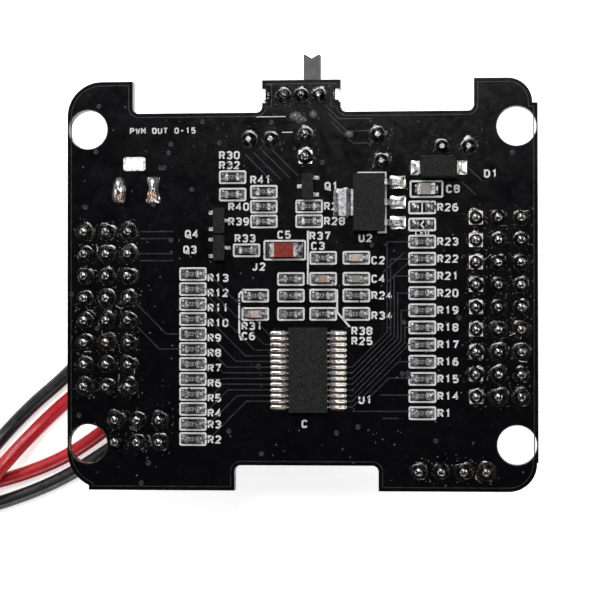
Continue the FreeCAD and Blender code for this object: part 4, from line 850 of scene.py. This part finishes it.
def mound(mesh, x, y, direction, stations, flatness=3.0, uneven=0.0):
    """A soldered strip that runs from (x, y) in a direction, from (distance, half width, height) stations."""
    steps = 8
    rows = []
    for distance, half_width, height in stations:
        row = []
        shake = 1 + chance.uniform(-uneven, uneven)
        for i in range(steps + 1):
            v = 2 * i / steps - 1
            rise = height * shake * (1 - abs(v) ** flatness)
            row.append((
                x + direction[0] * distance - direction[1] * v * half_width,
                y + direction[1] * distance + direction[0] * v * half_width,
                BOARD_TOP + rise,
            ))
        rows.append(row)
    width = steps + 1
    faces = []
    for r in range(len(rows) - 1):
        for i in range(steps):
            a = r * width + i
            faces.append((a, a + width, a + width + 1, a + 1))
    mesh.add([p for row in rows for p in row], faces)


def blob(mesh, x, y, radius, height, stretch=(1.0, 1.0), wobble=0.06):
    profile = [(r * radius, BOARD_TOP + z * height) for r, z in BLOB_PROFILE]
    lathe(mesh, x, y, profile, 20, wobble, stretch)


def make_joints(name, places, replaced, material, squares=(), tips=True):
    """Domed joints round the tops of pins, with the tinned tips and the square lands."""
    mesh = Mesh()
    for x, y in places:
        size = chance.uniform(0.92, 1.06)
        profile = [(r * size, BOARD_TOP + z * chance.uniform(0.97, 1.03)) for r, z in JOINT_PROFILE]
        lean = (chance.uniform(-0.05, 0.05), chance.uniform(-0.05, 0.05))
        lathe(mesh, x, y, profile, 22, 0.05, lean=lean)
    made = mesh.piece(name, material, smooth=True)
    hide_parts(*replaced)
    if tips:
        caps = Mesh()
        for x, y in places:
            lathe(caps, x, y, [(r, BOARD_TOP + z) for r, z in TIP_PROFILE], 14, 0.08)
        caps.piece(name + "_tips", stuff["tip_tin"], smooth=True)
    lands = Mesh()
    for x, y in squares:
        outline = rounded_rectangle(x, y, LAND_SIDE, LAND_SIDE, LAND_CORNER, 2)
        plate(lands, outline, BOARD_TOP, BOARD_TOP + PAD_HEIGHT)
    if squares:
        lands.piece(name + "_lands", stuff["pad_tin"])


# Soldered strips as (distance, half width, height).
LARGE_CAPACITOR_FILLET = [
    (-0.2, 0.82, 0.5), (0.02, 0.84, 0.5), (0.2, 0.86, 0.28), (0.42, 0.86, 0.1), (0.5, 0.84, 0.0),
]
EMPTY_PAD = [(-0.44, 0.42, 0.0), (-0.36, 0.48, 0.1), (0, 0.5, 0.2), (0.36, 0.48, 0.1), (0.44, 0.42, 0.0)]
DIODE_PAD = [
    (1.9, 0.72, 0.05), (2.15, 0.80, 0.3), (2.55, 0.80, 0.34), (2.8, 0.82, 0.18), (3.16, 0.82, 0.05),
    (3.2, 0.8, 0.0),
]
TRANSISTOR_PAD = [
    (-0.20, 0.16, 0.02), (-0.1, 0.20, 0.07), (0.1, 0.22, 0.10), (0.28, 0.20, 0.06), (0.36, 0.14, 0.0),
]


def make_chip_fillets(material):
    """Solder at both ends of the small chip resistors and capacitors."""
    mesh = Mesh()
    for node in ("left_resistor_bodies", "right_resistor_bodies", "centre_resistor_bodies", "ceramic_bodies"):
        for box in islands(node):
            middle = centre(box)
            half = (box[1].x - box[0].x) / 2 + 0.32
            large = half > 1.0
            pad = 1.62 if large else PAD_HALF_LENGTH
            width = 0.66 if large else PAD_HALF_WIDTH
            rise = 0.55 if large else 0.36
            for side in (-1, 1):
                reach = pad - half
                stations = [
                    (-0.15, width * 0.92, rise), (0.02, width * 0.95, rise),
                    (reach * 0.35, width, rise * 0.52), (reach * 0.7, width, rise * 0.24),
                    (reach * 0.97, width * 0.98, 0.07), (reach, width * 0.96, 0.0),
                ]
                mound(mesh, middle.x + side * half, middle.y, (side, 0), stations, 4.0, 0.08)
    middle = centre(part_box("large_capacitor_body")) / MM
    for side in (-1, 1):
        mound(mesh, middle.x + side * 1.6, middle.y, (side, 0), LARGE_CAPACITOR_FILLET, 4.0, 0.08)
    for x, y in EMPTY_PLACES:
        for side in (-1, 1):
            mound(mesh, x + side * 0.78, y, (1, 0), EMPTY_PAD, 2.2, 0.1)
    mesh.piece("chip_fillets", material, smooth=True)


def make_chip_pads(material):
    """Tinned lands that reach out past the leads of the larger chips."""
    mesh = Mesh()
    tab = Mesh()
    middle = centre(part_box("driver_chip_body")) / MM
    for box in islands("driver_chip_leads"):
        place = centre(box)
        side = 1 if place.x > middle.x else -1
        tip = abs(box[1 if side > 0 else 0].x - middle.x)
        stations = [
            (tip - 0.62, 0.17, 0.03), (tip - 0.12, 0.20, 0.15), (tip + 0.05, 0.21, 0.20),
            (tip + 0.28, 0.21, 0.13), (tip + 0.8, 0.20, 0.10), (tip + 1.1, 0.17, 0.07),
            (tip + 1.17, 0.12, 0.0),
        ]
        mound(mesh, middle.x, place.y, (side, 0), stations, 2.4, 0.1)
    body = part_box("regulator_body")
    body_middle = centre(body) / MM
    for box in islands("regulator_leads"):
        place = centre(box)
        side = 1 if place.x > body_middle.x else -1
        tip = abs(box[1 if side > 0 else 0].x - body_middle.x)
        half = 0.74 if side > 0 else 1.74
        stations = [
            (tip - 1.15, half * 0.9, 0.05), (tip - 0.9, half, 0.10), (tip - 0.1, half * 0.9, 0.22),
            (tip + 0.12, half * 0.92, 0.16), (tip + 0.5, half, 0.08), (tip + 0.62, half * 0.97, 0.0),
        ]
        mound(mesh if side > 0 else tab, body_middle.x, place.y, (side, 0), stations, 5.0, 0.02)
    middle = centre(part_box("diode_body")) / MM
    for side in (-1, 1):
        mound(mesh, middle.x, middle.y, (side, 0), DIODE_PAD, 5.0, 0.1)
    for body in islands("transistor_bodies"):
        middle = centre(body)
        for box in islands("transistor_leads"):
            place = centre(box)
            if place.z > BOARD_TOP + 0.3 or math.dist(place[:2], middle[:2]) > 2.0:
                continue
            side = 1 if place.x > middle.x else -1
            mound(mesh, place.x, place.y, (side, 0), TRANSISTOR_PAD, 3.0, 0.12)
    mesh.piece("chip_pads", material, smooth=True)
    tab.piece("regulator_tab_solder", stuff["tinned"], smooth=True)


LEAD_FLUX_AWAY = 3.35
LEAD_FLUX_WIDTH = 1.9
LEAD_FLUX_HEIGHT = 0.02


def make_lead_flux(material):
    """Baked rosin between the leads of the large chip."""
    mesh = Mesh()
    rows = [centre(box) for box in islands("driver_chip_leads")]
    middle = centre(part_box("driver_chip_body")) / MM
    top = max(p.y for p in rows) + 0.3
    foot = min(p.y for p in rows) - 0.35
    for side in (-1, 1):
        x = middle.x + side * LEAD_FLUX_AWAY
        outline = rounded_rectangle(x, (top + foot) / 2, LEAD_FLUX_WIDTH, top - foot, 0.3)
        plate(mesh, outline, BOARD_TOP, BOARD_TOP + LEAD_FLUX_HEIGHT)
    mesh.piece("lead_flux", material)


LEAD_BLOBS = [
    # for the left and the right joint: (distance down the board, half width, height)
    [(-1.5, 0.25, 0.0), (-1.35, 0.50, 0.25), (-0.9, 0.70, 0.62), (-0.3, 0.82, 0.85), (0.3, 0.84, 0.86),
     (0.9, 0.78, 0.60), (1.3, 0.66, 0.34), (1.5, 0.45, 0.0)],
    [(-1.5, 0.55, 0.0), (-1.35, 0.74, 0.24), (-0.9, 0.70, 0.50), (-0.3, 0.56, 0.76), (0.2, 0.58, 0.74),
     (0.8, 0.76, 0.55), (1.3, 0.84, 0.30), (1.5, 0.78, 0.0)],
]


STRANDS = 9
STRAND_WIDTH = 0.09


def make_lead_blobs(solder, copper):
    mesh = Mesh()
    strands = Mesh()
    for box, stations in zip(islands("lead_joints"), LEAD_BLOBS):
        x, y = centre(box)[:2]
        mound(mesh, x, y, (0, -1), stations, 2.2, 0.05)
        for _ in range(STRANDS):
            sx = x + chance.uniform(-0.5, 0.5)
            sy = y - chance.uniform(0.2, 0.9)
            slant = chance.uniform(-0.16, 0.16)
            path = [(sx, sy), (sx + slant, sy - 0.35), (sx + 1.6 * slant, sy - 0.62)]
            low = BOARD_TOP + 0.30
            band(strands, path, STRAND_WIDTH, low, low + 0.42)
    made = mesh.piece("lead_blobs", solder, smooth=True)
    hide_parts("lead_joints")
    strands.piece("lead_strands", copper)


COATED_BLOBS = [
    # distance from the switch's middle terminal, radius, height and stretch
    (-0.6, -2.4, 0.8, 0.6, (1.0, 0.7)), (1.4, -2.2, 0.5, 0.55, (1.05, 0.95)),
    (0.0, -2.8, 0.55, 0.3, (1.2, 0.8)), (5.5, -4.5, 0.5, 0.5, (1.1, 0.9)),
]
LUG_INSET = 0.5
LUG_BLOB_RADIUS = 0.46
LUG_BLOB_HEIGHT = 0.50


def make_blobs(dull, solder):
    """Vias filled and coated below the switch, and the joints of its two lugs."""
    mesh = Mesh()
    terminal_x, terminal_y = PINS["switch_joints"][1]
    for across, up, radius, height, stretch in COATED_BLOBS:
        blob(mesh, terminal_x + across, terminal_y + up, radius, height, stretch, 0.05)
    mesh.piece("coated_blobs", dull, smooth=True)
    lugs = Mesh()
    shell_low, shell_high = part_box("switch_shell")
    for x in (shell_low.x / MM + LUG_INSET, shell_high.x / MM - LUG_INSET):
        blob(lugs, x, terminal_y, LUG_BLOB_RADIUS, LUG_BLOB_HEIGHT, (0.8, 1.15), 0.12)
    lugs.piece("lug_blobs", solder, smooth=True)


STRAY_DROPS = 420
STRAY_BEAD_SHARE = 0.15
DROPS_ROUND_A_JOINT = 16


def make_flux(film_places, material, solder):
    """Films of rosin round the joints, and the drops and solder beads that lie about them."""
    films = Mesh()
    drops = Mesh()
    beads = Mesh()
    for x, y in film_places:
        radius = chance.uniform(0.95, 1.2)
        profile = [(radius, 0.0), (radius * 0.95, 0.02), (radius * 0.8, 0.035), (0.3, 0.05)]
        if on_board(x + 1.1, y) and on_board(x - 1.1, y):
            lathe(films, x, y, [(r, BOARD_TOP + z) for r, z in profile], 18, 0.10)
        for _ in range(DROPS_ROUND_A_JOINT):
            angle = chance.uniform(0, 2 * math.pi)
            away = chance.uniform(0.85, 1.75)
            scatter_drop(drops, beads, x + away * math.cos(angle), y + away * math.sin(angle))
    low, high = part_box("pcb")[0] / MM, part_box("pcb")[1] / MM
    for _ in range(STRAY_DROPS):
        x = chance.uniform(low.x + 1, high.x - 1)
        y = chance.uniform(low.y + 1.1, high.y - 0.9)
        scatter_drop(drops, beads, x, y, STRAY_BEAD_SHARE)
    films.piece("flux_films", material, smooth=True)
    drops.piece("flux_drops", material, smooth=True)
    beads.piece("solder_beads", solder, smooth=True)


def scatter_drop(drops, beads, x, y, bead_share=0.35):
    if not on_board(x, y):
        return
    bright = chance.random() < bead_share
    radius = chance.uniform(0.03, 0.075) if bright else chance.uniform(0.05, 0.15)
    height = radius * (1.1 if bright else 0.5)
    profile = [
        (radius, BOARD_TOP), (radius * 0.85, BOARD_TOP + height * 0.55), (radius * 0.35, BOARD_TOP + height),
    ]
    lathe(beads if bright else drops, x, y, profile, 7, 0.1)


THREAD_COUNT = 18


def make_threads(material):
    """Short bright threads of solder and rosin left near the header joints."""
    mesh = Mesh()
    pins = PINS["left_header_pins"] + PINS["right_header_pins"] + PINS["small_header_pins"]
    for _ in range(THREAD_COUNT):
        x, y = chance.choice(pins)
        angle = chance.uniform(0, 2 * math.pi)
        away = chance.uniform(1.0, 1.5)
        path = [(x + away * math.cos(angle), y + away * math.sin(angle))]
        heading = chance.uniform(0, 2 * math.pi)
        for _ in range(2):
            heading += chance.uniform(-0.5, 0.5)
            path.append((path[-1][0] + 0.45 * math.cos(heading), path[-1][1] + 0.45 * math.sin(heading)))
        width = chance.uniform(0.09, 0.14)
        if all(on_board(px, py) for px, py in path):
            band(mesh, path, width, BOARD_TOP, BOARD_TOP + 0.07, slope=0.6)
    mesh.piece("solder_threads", material)


# ---------------------------------------------------------------- traces and vias

TRACE_WIDTH = 0.16
VIA_COUNT = 34
VIA_MARGIN = 1.0
VIA_PROFILE = [(0.31, 0.0), (0.29, 0.035), (0.22, 0.05), (0.13, 0.045), (0.07, 0.015)]


def bent(start, end):
    """A trace that sets out at 45 degrees and ends in a straight run."""
    run, rise = end[0] - start[0], end[1] - start[1]
    reach = min(abs(run), abs(rise))
    corner = (start[0] + math.copysign(reach, run), start[1] + math.copysign(reach, rise))
    return [start, end] if math.dist(corner, end) < 0.05 else [start, corner, end]


def bundle(start, step, along, count):
    """Parallel straight traces."""
    lines = []
    for k in range(count):
        x, y = start[0] + k * step[0], start[1] + k * step[1]
        lines.append([(x, y), (x + along[0], y + along[1])])
    return lines


def fan_out():
    """The traces from the driver chip's leads to the two long columns of resistors."""
    lines = []
    body = centre(PARTS["U1"])
    leads = [centre(box) for box in islands("driver_chip_leads")]
    left_rows = sorted((p.y for p in leads if p.x < body.x), reverse=True)
    right_rows = sorted((p.y for p in leads if p.x > body.x), reverse=True)
    for row, name in zip(left_rows[1:13], PART_NAMES["left_resistor_bodies"]):
        chip = centre(PARTS[name])
        rise = abs(chip.y - row)
        bend = max(body.x - 9.8, chip.x + 1.85 + rise)
        lines.append([(body.x - 4.2, row), (bend, row), (bend - rise, chip.y), (chip.x + 1.35, chip.y)])
    start = body.x + 5.0
    for index, (row, name) in enumerate(zip(right_rows[6:], PART_NAMES["right_resistor_bodies"][:8])):
        chip = centre(PARTS[name])
        riser = min(chip.x - 1.5, body.x + 9.0 + 0.4 * index) if index < 7 else chip.x - 2.7
        foot = row + riser - start
        path = [(body.x + 4.2, row), (start, row), (riser, min(foot, chip.y))]
        if foot < chip.y:
            path.append((riser, chip.y))
        path.append((chip.x - 1.35, chip.y))
        lines.append(path)
    return lines


def short_traces():
    """The other visible traces, each beside the parts and pins that it serves."""
    lines = []
    inner_x = max(x for x, _ in PINS["left_header_pins"])
    inner_rows = sorted((y for x, y in PINS["left_header_pins"] if x == inner_x), reverse=True)
    for row in inner_rows[:2]:
        lines += bundle((inner_x + 1.3, row), (0, -0.8), (3.8, 0), 2)
    for row, name in zip(inner_rows[3:5], ("R9", "R8")):
        lines.append(bent((inner_x + 0.9, row - 0.7), beside(name, -1.5, 0)))
    radial_x, radial_y = sorted(PINS["single_joints"])[1]
    lines += bundle((radial_x, radial_y - 1.1), (-1.0, -0.2), (3.1, -3.1), 4)
    switch_x, switch_y = PINS["switch_joints"][2]
    fuse_x, fuse_y = PINS["single_joints"][0]
    for k in range(3):
        start = (switch_x + 0.8 + 0.3 * k, switch_y - 1.2 - 0.9 * k)
        lines.append(bent(start, (fuse_x - 0.6, fuse_y + 1.9 - 1.4 * k)))
    low, high = PARTS["D1"]
    lines.append([(low.x, high.y + 0.15), (high.x - 0.4, high.y + 0.15)])
    lines += bundle((high.x + 1.2, centre(PARTS["D1"]).y), (-0.7, -1.6), (1.6, -1.5), 2)
    lines.append([beside("R14", -4.8, 0.1), beside("R14", -1.5, 0.1)])
    lines.append([beside("R1", -8.0, 0.2), beside("R1", -1.5, 0.2)])
    lines.append([beside("R1", -4.5, -0.6), beside("R1", -2.7, -0.6)])
    lines.append(bent(beside("R15", -6.7, -2.8), beside("R15", -1.5, 0.1)))
    lines += bundle(beside("C4", 3.0, 0.7), (0.4, -1.2), (2.5, 2.3), 2)
    lines.append([beside("R12", 1.6, -0.7), beside("R12", 3.2, -2.3)])
    return lines


def make_traces(material):
    mesh = Mesh()
    for path in fan_out() + short_traces():
        band(mesh, path, TRACE_WIDTH, BOARD_TOP, BOARD_TOP + TRACE_HEIGHT, slope=0.45)
    mesh.piece("traces", material)
    vias = Mesh()
    low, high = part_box("pcb")[0] / MM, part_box("pcb")[1] / MM
    made = 0
    while made < VIA_COUNT:
        x, y = chance.uniform(low.x, high.x), chance.uniform(low.y, high.y)
        if on_board(x, y) and clear_of_parts(x, y, VIA_MARGIN):
            lathe(vias, x, y, [(r, BOARD_TOP + z) for r, z in VIA_PROFILE], 16, 0.03)
            made += 1
    vias.piece("vias", material, smooth=True)


# ---------------------------------------------------------------- silkscreen

SILK_LINE = 0.22
CORNER = 0.14
SILK_REACH = {"C8": 1.33, "C5": 1.35}
CHIP_SILK_REACH = 1.1
SILK_SIDE = 0.375
CHIP_BOX = (3.16, 1.55)


def silk_half(name):
    """Half the width and height of what is printed or soldered round a named part."""
    low, high = PARTS[name]
    if name[0] in "RC":
        reach = SILK_REACH.get(name, CHIP_SILK_REACH)
        return (high.x - low.x) / 2 + reach, (high.y - low.y) / 2 + SILK_SIDE
    return (high.x - low.x) / 2 + 0.6, (high.y - low.y) / 2


def silk_box(mesh, x, y, width, height):
    path = rounded_rectangle(x, y, width - SILK_LINE, height - SILK_LINE, CORNER)
    band(mesh, path, SILK_LINE, BOARD_TOP, BOARD_TOP + SILK_HEIGHT, closed=True)


def silk_line(mesh, path, width=SILK_LINE):
    band(mesh, path, width, BOARD_TOP, BOARD_TOP + SILK_HEIGHT)


ROUND_O = [(1, 0), (3, 0), (4, 1), (4, 5), (3, 6), (1, 6), (0, 5), (0, 1), (1, 0)]
GLYPHS = {
    # strokes on a grid 4 wide and 6 high
    "0": [ROUND_O],
    "1": [[(0.8, 4.8), (2.2, 6), (2.2, 0)]],
    "2": [[(0, 5), (1, 6), (3, 6), (4, 5), (4, 3.8), (0, 0), (4, 0)]],
    "3": [[(0, 5.2), (1, 6), (3, 6), (4, 5), (4, 4), (3, 3.1), (1.6, 3.1)],
          [(3, 3.1), (4, 2.2), (4, 1), (3, 0), (1, 0), (0, 0.8)]],
    "4": [[(3, 0), (3, 6), (0, 2), (4.3, 2)]],
    "5": [[(3.8, 6), (0.4, 6), (0.2, 3.3), (2.8, 3.5), (4, 2.5), (4, 1), (3, 0), (1, 0), (0, 0.8)]],
    "6": [[(3.6, 5.7), (2.6, 6), (1, 5.6), (0, 4), (0, 1.2), (1, 0), (3, 0), (4, 1), (4, 2.4), (3, 3.4),
           (1, 3.4), (0, 2.4)]],
    "7": [[(0, 6), (4, 6), (1.6, 0)]],
    "8": [[(1, 3.2), (0, 4.2), (0, 5.1), (1, 6), (3, 6), (4, 5.1), (4, 4.2), (3, 3.2), (1, 3.2), (0, 2.2),
           (0, 1), (1, 0), (3, 0), (4, 1), (4, 2.2), (3, 3.2)]],
    "9": [[(0.4, 0.3), (1.4, 0), (3, 0.4), (4, 2), (4, 4.8), (3, 6), (1, 6), (0, 5), (0, 3.6), (1, 2.6),
           (3, 2.6), (4, 3.6)]],
    "R": [[(0, 0), (0, 6), (3, 6), (4, 5.2), (4, 3.8), (3, 3), (0, 3)], [(2, 3), (4, 0)]],
    "C": [[(4, 5), (3, 6), (1, 6), (0, 5), (0, 1), (1, 0), (3, 0), (4, 1)]],
    "U": [[(0, 6), (0, 1), (1, 0), (3, 0), (4, 1), (4, 6)]],
    "Q": [ROUND_O, [(1.8, 2.4), (4.8, -1.2)]],
    "D": [[(0, 0), (0, 6), (2.6, 6), (4, 4.6), (4, 1.4), (2.6, 0), (0, 0)]],
    "L": [[(0, 6), (0, 0), (3.6, 0)]],
    "E": [[(3.8, 6), (0, 6), (0, 0), (3.8, 0)], [(0, 3.1), (3.2, 3.1)]],
    "J": [[(3.4, 6), (3.4, 1), (2.4, 0), (1, 0), (0, 1)]],
    "P": [[(0, 0), (0, 6), (3, 6), (4, 5.2), (4, 3.6), (3, 2.8), (0, 2.8)]],
    "W": [[(0, 6), (1.1, 0), (2.2, 4.4), (3.3, 0), (4.4, 6)]],
    "M": [[(0, 0), (0, 6), (2.1, 2.6), (4.2, 6), (4.2, 0)]],
    "O": [ROUND_O],
    "T": [[(0, 6), (4, 6)], [(2, 6), (2, 0)]],
    "-": [[(0.6, 3), (3.4, 3)]],
    " ": [],
}
# The width of a letter's strokes to its height.
STROKE_SHARE = 0.215
LABEL_HEIGHT = 0.95
LABEL_GAP = 0.12
LINE_PITCH = 1.15
TITLE = "PWM OUT 0-15"
TITLE_HEIGHT = 0.72
# From the middle of the upper left hole.
TITLE_SHIFT = (8.7, -0.2)
LABELS = [
    # text, the part it stands by, its side, lines away, and a shift along X and Y
    ("R30", "R30", "above", 2, 0, 0), ("R32", "R30", "above", 1, 0, 0), ("R41", "R41", "above", 1, 0, 0),
    ("R40", "R40", "left", 0, 0, 0), ("R39", "R39", "left", 0, 0, 0), ("R27", "R27", "right", 0, 0, 0),
    ("R28", "R28", "right", 0, 0, 0), ("Q1", "Q1", "right", 0, 0.5, 0), ("R33", "R33", "above", 1, 0.2, 0),
    ("C5", "C5", "above", 1, 1.6, 0), ("R37", "R37", "above", 2, 0, 0), ("C3", "R37", "above", 1, 0.2, 0),
    ("C2", "C2", "right", 0, 0, -0.3), ("C4", "C4", "right", 0, 0, 0), ("R24", "R24", "right", 0, 0, 0),
    ("R34", "R34", "right", 0, 0, -0.2), ("U2", "U2", "below", 1, 1.1, -0.2), ("R31", "C6", "below", 1, 0, 0),
    ("C6", "C6", "below", 2, 0, 0), ("R38", "R34", "below", 1.5, 1, 0), ("R25", "R34", "below", 2.5, 1, 0),
    ("U1", "U1", "right", 0, 2.8, -3.4), ("C", "U1", "below", 1, 2.0, -0.7),
    ("J2", "R33", "below", 1, 2.2, -0.5), ("C8", "C8", "right", 0, 0.2, 0),
    ("D1", "D1", "right", 0, 2.3, -0.7), ("Q4", "Q4", "left", 0, -1.1, -1.5),
    ("Q3", "Q3", "left", 0, -1.3, -0.2),
]


def leader_lines():
    """Lines that tie a block of labels to the parts they name, and the outlines beside the larger parts."""
    low, high = PARTS["U2"]
    return [
        [beside("R37", -1.75, 3.1), (beside("R37", -1.75, 0)[0], beside("C3", 0, -0.6)[1])],
        [beside("R31", -1.3, 0.75), beside("R31", -1.85, 0.2), beside("C6", -1.85, -2.3),
         beside("C6", -1.6, -3.0)],
        [beside("R38", 1.6, 0.7), beside("R38", 1.6, -1.9), beside("R34", -0.75, -1.5)],
        [(low.x + 0.4, high.y + 0.15), (high.x + 0.1, high.y + 0.15), (high.x + 0.1, low.y - 0.15),
         (high.x - 0.8, low.y - 0.15)],
    ]


def text_size(text, height, weight=STROKE_SHARE):
    """The stroke, the grid unit, the step from letter to letter and the whole width of a text."""
    stroke = weight * height
    unit = (height - stroke) / 6
    advance = 4 * unit + stroke + 0.16 * height
    return stroke, unit, advance, advance * (len(text) - 1) + 4 * unit + stroke


def label_place(text, name, side, line, height):
    """The middle of a label: level with its part, or in lines above or below and flush with its left side."""
    half_width, half_height = silk_half(name)
    half_text = text_size(text, height)[3] / 2
    if side in ("left", "right"):
        way = 1 if side == "right" else -1
        return beside(name, way * (half_width + LABEL_GAP + half_text), 0)
    way = 1 if side == "above" else -1
    away = half_height + LABEL_GAP + height / 2 + (line - 1) * LINE_PITCH
    return beside(name, half_text - half_width, way * away)


def add_text(mesh, text, x, y, height, z, thickness, weight=STROKE_SHARE):
    """Draws the text in plain strokes, its middle at (x, y)."""
    stroke, unit, advance, width = text_size(text, height, weight)
    left = x - (width - stroke) / 2
    foot = y - 3 * unit
    for index, letter in enumerate(text):
        for path in GLYPHS[letter]:
            points = [(left + index * advance + u * unit, foot + v * unit) for u, v in path]
            band(mesh, points, stroke, z, z + thickness)


def make_silkscreen(material):
    lines = Mesh()
    boxes = Mesh()
    for name in PARTS:
        if name[0] in "RC":
            half_width, half_height = silk_half(name)
            silk_box(boxes, *beside(name, 0, 0), 2 * half_width, 2 * half_height)
    for x, y in EMPTY_PLACES:
        silk_box(boxes, x, y, *CHIP_BOX)
    for path in leader_lines():
        silk_line(lines, path)
    shell_x, shell_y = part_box("switch_shell")[0][:2]
    for start, end, drop in ((-0.9, 2.5, 0.6), (2.1, 3.3, 2.4)):
        row = shell_y / MM - drop
        silk_line(lines, [(shell_x / MM + start, row), (shell_x / MM + end, row)], 0.11)
    (bar_x, bar_y), (mark_x, mark_y) = EMPTY_PLACES
    silk_line(lines, [(bar_x, bar_y + 0.66), (bar_x, bar_y - 0.66)], 0.16)
    arrow = [(mark_x + 0.2, mark_y + 0.42), (mark_x - 0.14, mark_y), (mark_x + 0.2, mark_y - 0.42)]
    silk_line(lines, arrow, 0.18)
    boxes.piece("silk_boxes", material)
    lines.piece("silk_lines", material)
    words = Mesh()
    labels = list(LABELS)
    for name in PART_NAMES["left_resistor_bodies"]:
        labels.append((name, name, "right", 0, 0, -0.05 if name in ("R2", "R3") else -0.45))
    for name in PART_NAMES["right_resistor_bodies"]:
        labels.append((name, name, "right", 0, 0, 0))
    for text, name, side, line, across, up in labels:
        x, y = label_place(text, name, side, line, LABEL_HEIGHT)
        add_text(words, text, x + across, y + up, LABEL_HEIGHT, BOARD_TOP, SILK_HEIGHT)
    x, y = label_place("R26", "R23", "right", 0, LABEL_HEIGHT)
    add_text(words, "R26", x, EMPTY_PLACES[0][1], LABEL_HEIGHT, BOARD_TOP, SILK_HEIGHT)
    add_text(words, "LED", *beside("R23", 0, 1.0), 0.62, BOARD_TOP, SILK_HEIGHT)
    hole_x, hole_y, _ = min(LARGE_HOLES, key=lambda hole: hole[0] - hole[1])
    x, y = hole_x + TITLE_SHIFT[0], hole_y + TITLE_SHIFT[1]
    add_text(words, TITLE, x, y, TITLE_HEIGHT, BOARD_TOP, SILK_HEIGHT)
    words.piece("silk_labels", material)


CHIP_CODES = ["221", "102", "103", "472", "331", "152"]


def make_chip_codes(material):
    """Value codes on the chip resistors, faint and small."""
    mesh = Mesh()
    for node in ("left_resistor_bodies", "right_resistor_bodies", "centre_resistor_bodies"):
        for index, box in enumerate(islands(node)):
            middle = centre(box)
            code = CHIP_CODES[0] if "centre" not in node else CHIP_CODES[index % len(CHIP_CODES)]
            add_text(mesh, code, middle.x, middle.y, 0.42, box[1].z, 0.006, 0.16)
    mesh.piece("chip_codes", material)


# ---------------------------------------------------------------- component side


# The stripe's two sides round the sleeve, in half turns.
STRIPE_START = 0.9
STRIPE_END = 1.5
STRIPE_SECTIONS = 10


def make_sleeve_marks(material):
    """The pale stripe down each sleeve that marks the can's negative lead."""
    mesh = Mesh()
    for box in islands("radial_sleeves"):
        middle = centre(box)
        radius = (box[1].x - box[0].x) / 2 + 0.015
        low, high = box[0].z + 0.5, box[1].z - 0.5
        points = []
        for i in range(STRIPE_SECTIONS + 1):
            angle = math.pi * (STRIPE_START + (STRIPE_END - STRIPE_START) * i / STRIPE_SECTIONS)
            for z in (low, high):
                points.append((middle.x + radius * math.cos(angle), middle.y + radius * math.sin(angle), z))
        mesh.add(points, [(2 * i, 2 * i + 2, 2 * i + 3, 2 * i + 1) for i in range(STRIPE_SECTIONS)])
    mesh.piece("sleeve_stripes", material, smooth=True)


def make_aerial(material):
    """The meandering copper aerial on the end of the WiFi module, on its outer side."""
    mesh = Mesh()
    low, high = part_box("wifi_board")
    face = low.z / MM
    left, right = low.x / MM + 1.2, high.x / MM - 1.2
    near, far = low.y / MM + 0.8, low.y / MM + 4.6
    turns = 7
    path = []
    for i in range(turns + 1):
        x = left + (right - left) * i / turns
        first, second = (near, far) if i % 2 else (far, near)
        path += [(x, first), (x, second)]
    band(mesh, path, 0.45, face, face - 0.03, slope=0.1)
    mesh.piece("aerial_trace", material)


PLUG_HEADING_DEGREES = 35
PLUG_HALF_PITCH = 1.27


def make_plug_windows(material):
    """The crimp windows on the flat top of the plug."""
    mesh = Mesh()
    low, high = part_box("plug_housing")
    middle = centre((low, high)) / MM
    heading = math.radians(PLUG_HEADING_DEGREES)
    along = Vector((math.cos(heading), math.sin(heading)))
    across = Vector((-along.y, along.x))
    for side in (-PLUG_HALF_PITCH, PLUG_HALF_PITCH):
        foot = Vector((middle.x, middle.y)) + across * side - along * 2.2
        band(mesh, [tuple(foot), tuple(foot + along * 2.6)], 1.1, high.z / MM, high.z / MM + 0.03, slope=0.1)
    mesh.piece("plug_windows", material)


# ---------------------------------------------------------------- putting it together

make_camera()
make_floor()
make_lights()
make_world()
bpy.context.scene.view_settings.view_transform = "Standard"
stuff = make_materials()
for finish, names in FINISH.items():
    for node_name in names:
        paint(node_name, stuff[finish])
tint_ceramics()
make_wire("black_wire_cover", BLACK_ROUTE, stuff["wire_black"], "black_wire")
make_wire("red_wire_cover", RED_ROUTE, stuff["wire_red"], "red_wire")

left_places = PINS["left_header_pins"]
right_places = PINS["right_header_pins"]
small_places = PINS["small_header_pins"]
switch_places = PINS["switch_joints"]
single_places = PINS["single_joints"]
first_column = min(x for x, _ in right_places) + 0.5
link_pins = [place for place in small_places if place[1] > 0]
make_joints("left_domes", left_places, ["left_header_joints"], stuff["solder"])
make_joints(
    "right_domes", right_places, ["right_header_joints"], stuff["solder"],
    [place for place in right_places if place[0] < first_column],
)
make_joints(
    "small_domes", small_places, ["small_header_joints"], stuff["solder"],
    [min(link_pins, key=lambda p: p[1])],
)
make_joints("switch_domes", switch_places, ["switch_joints"], stuff["solder"], tips=False)
make_joints("single_domes", single_places, ["single_joints"], stuff["solder"], tips=False)
make_edge_lines(stuff["trace"], stuff["pad_tin"])
make_chip_fillets(stuff["dull_tin"])
make_chip_pads(stuff["pad_tin"])
make_lead_flux(stuff["brown_flux"])
make_lead_blobs(stuff["streaky"], stuff["copper"])
make_blobs(stuff["coated"], stuff["solder"])
joint_places = left_places + right_places + small_places + switch_places + single_places
make_flux(joint_places, stuff["flux"], stuff["solder"])
make_threads(stuff["pad_tin"])
make_traces(stuff["trace"])
make_silkscreen(stuff["silk"])
make_chip_codes(stuff["faint_ink"])
make_sleeve_marks(stuff["silk"])
make_aerial(stuff["copper"])
make_plug_windows(stuff["pin"])
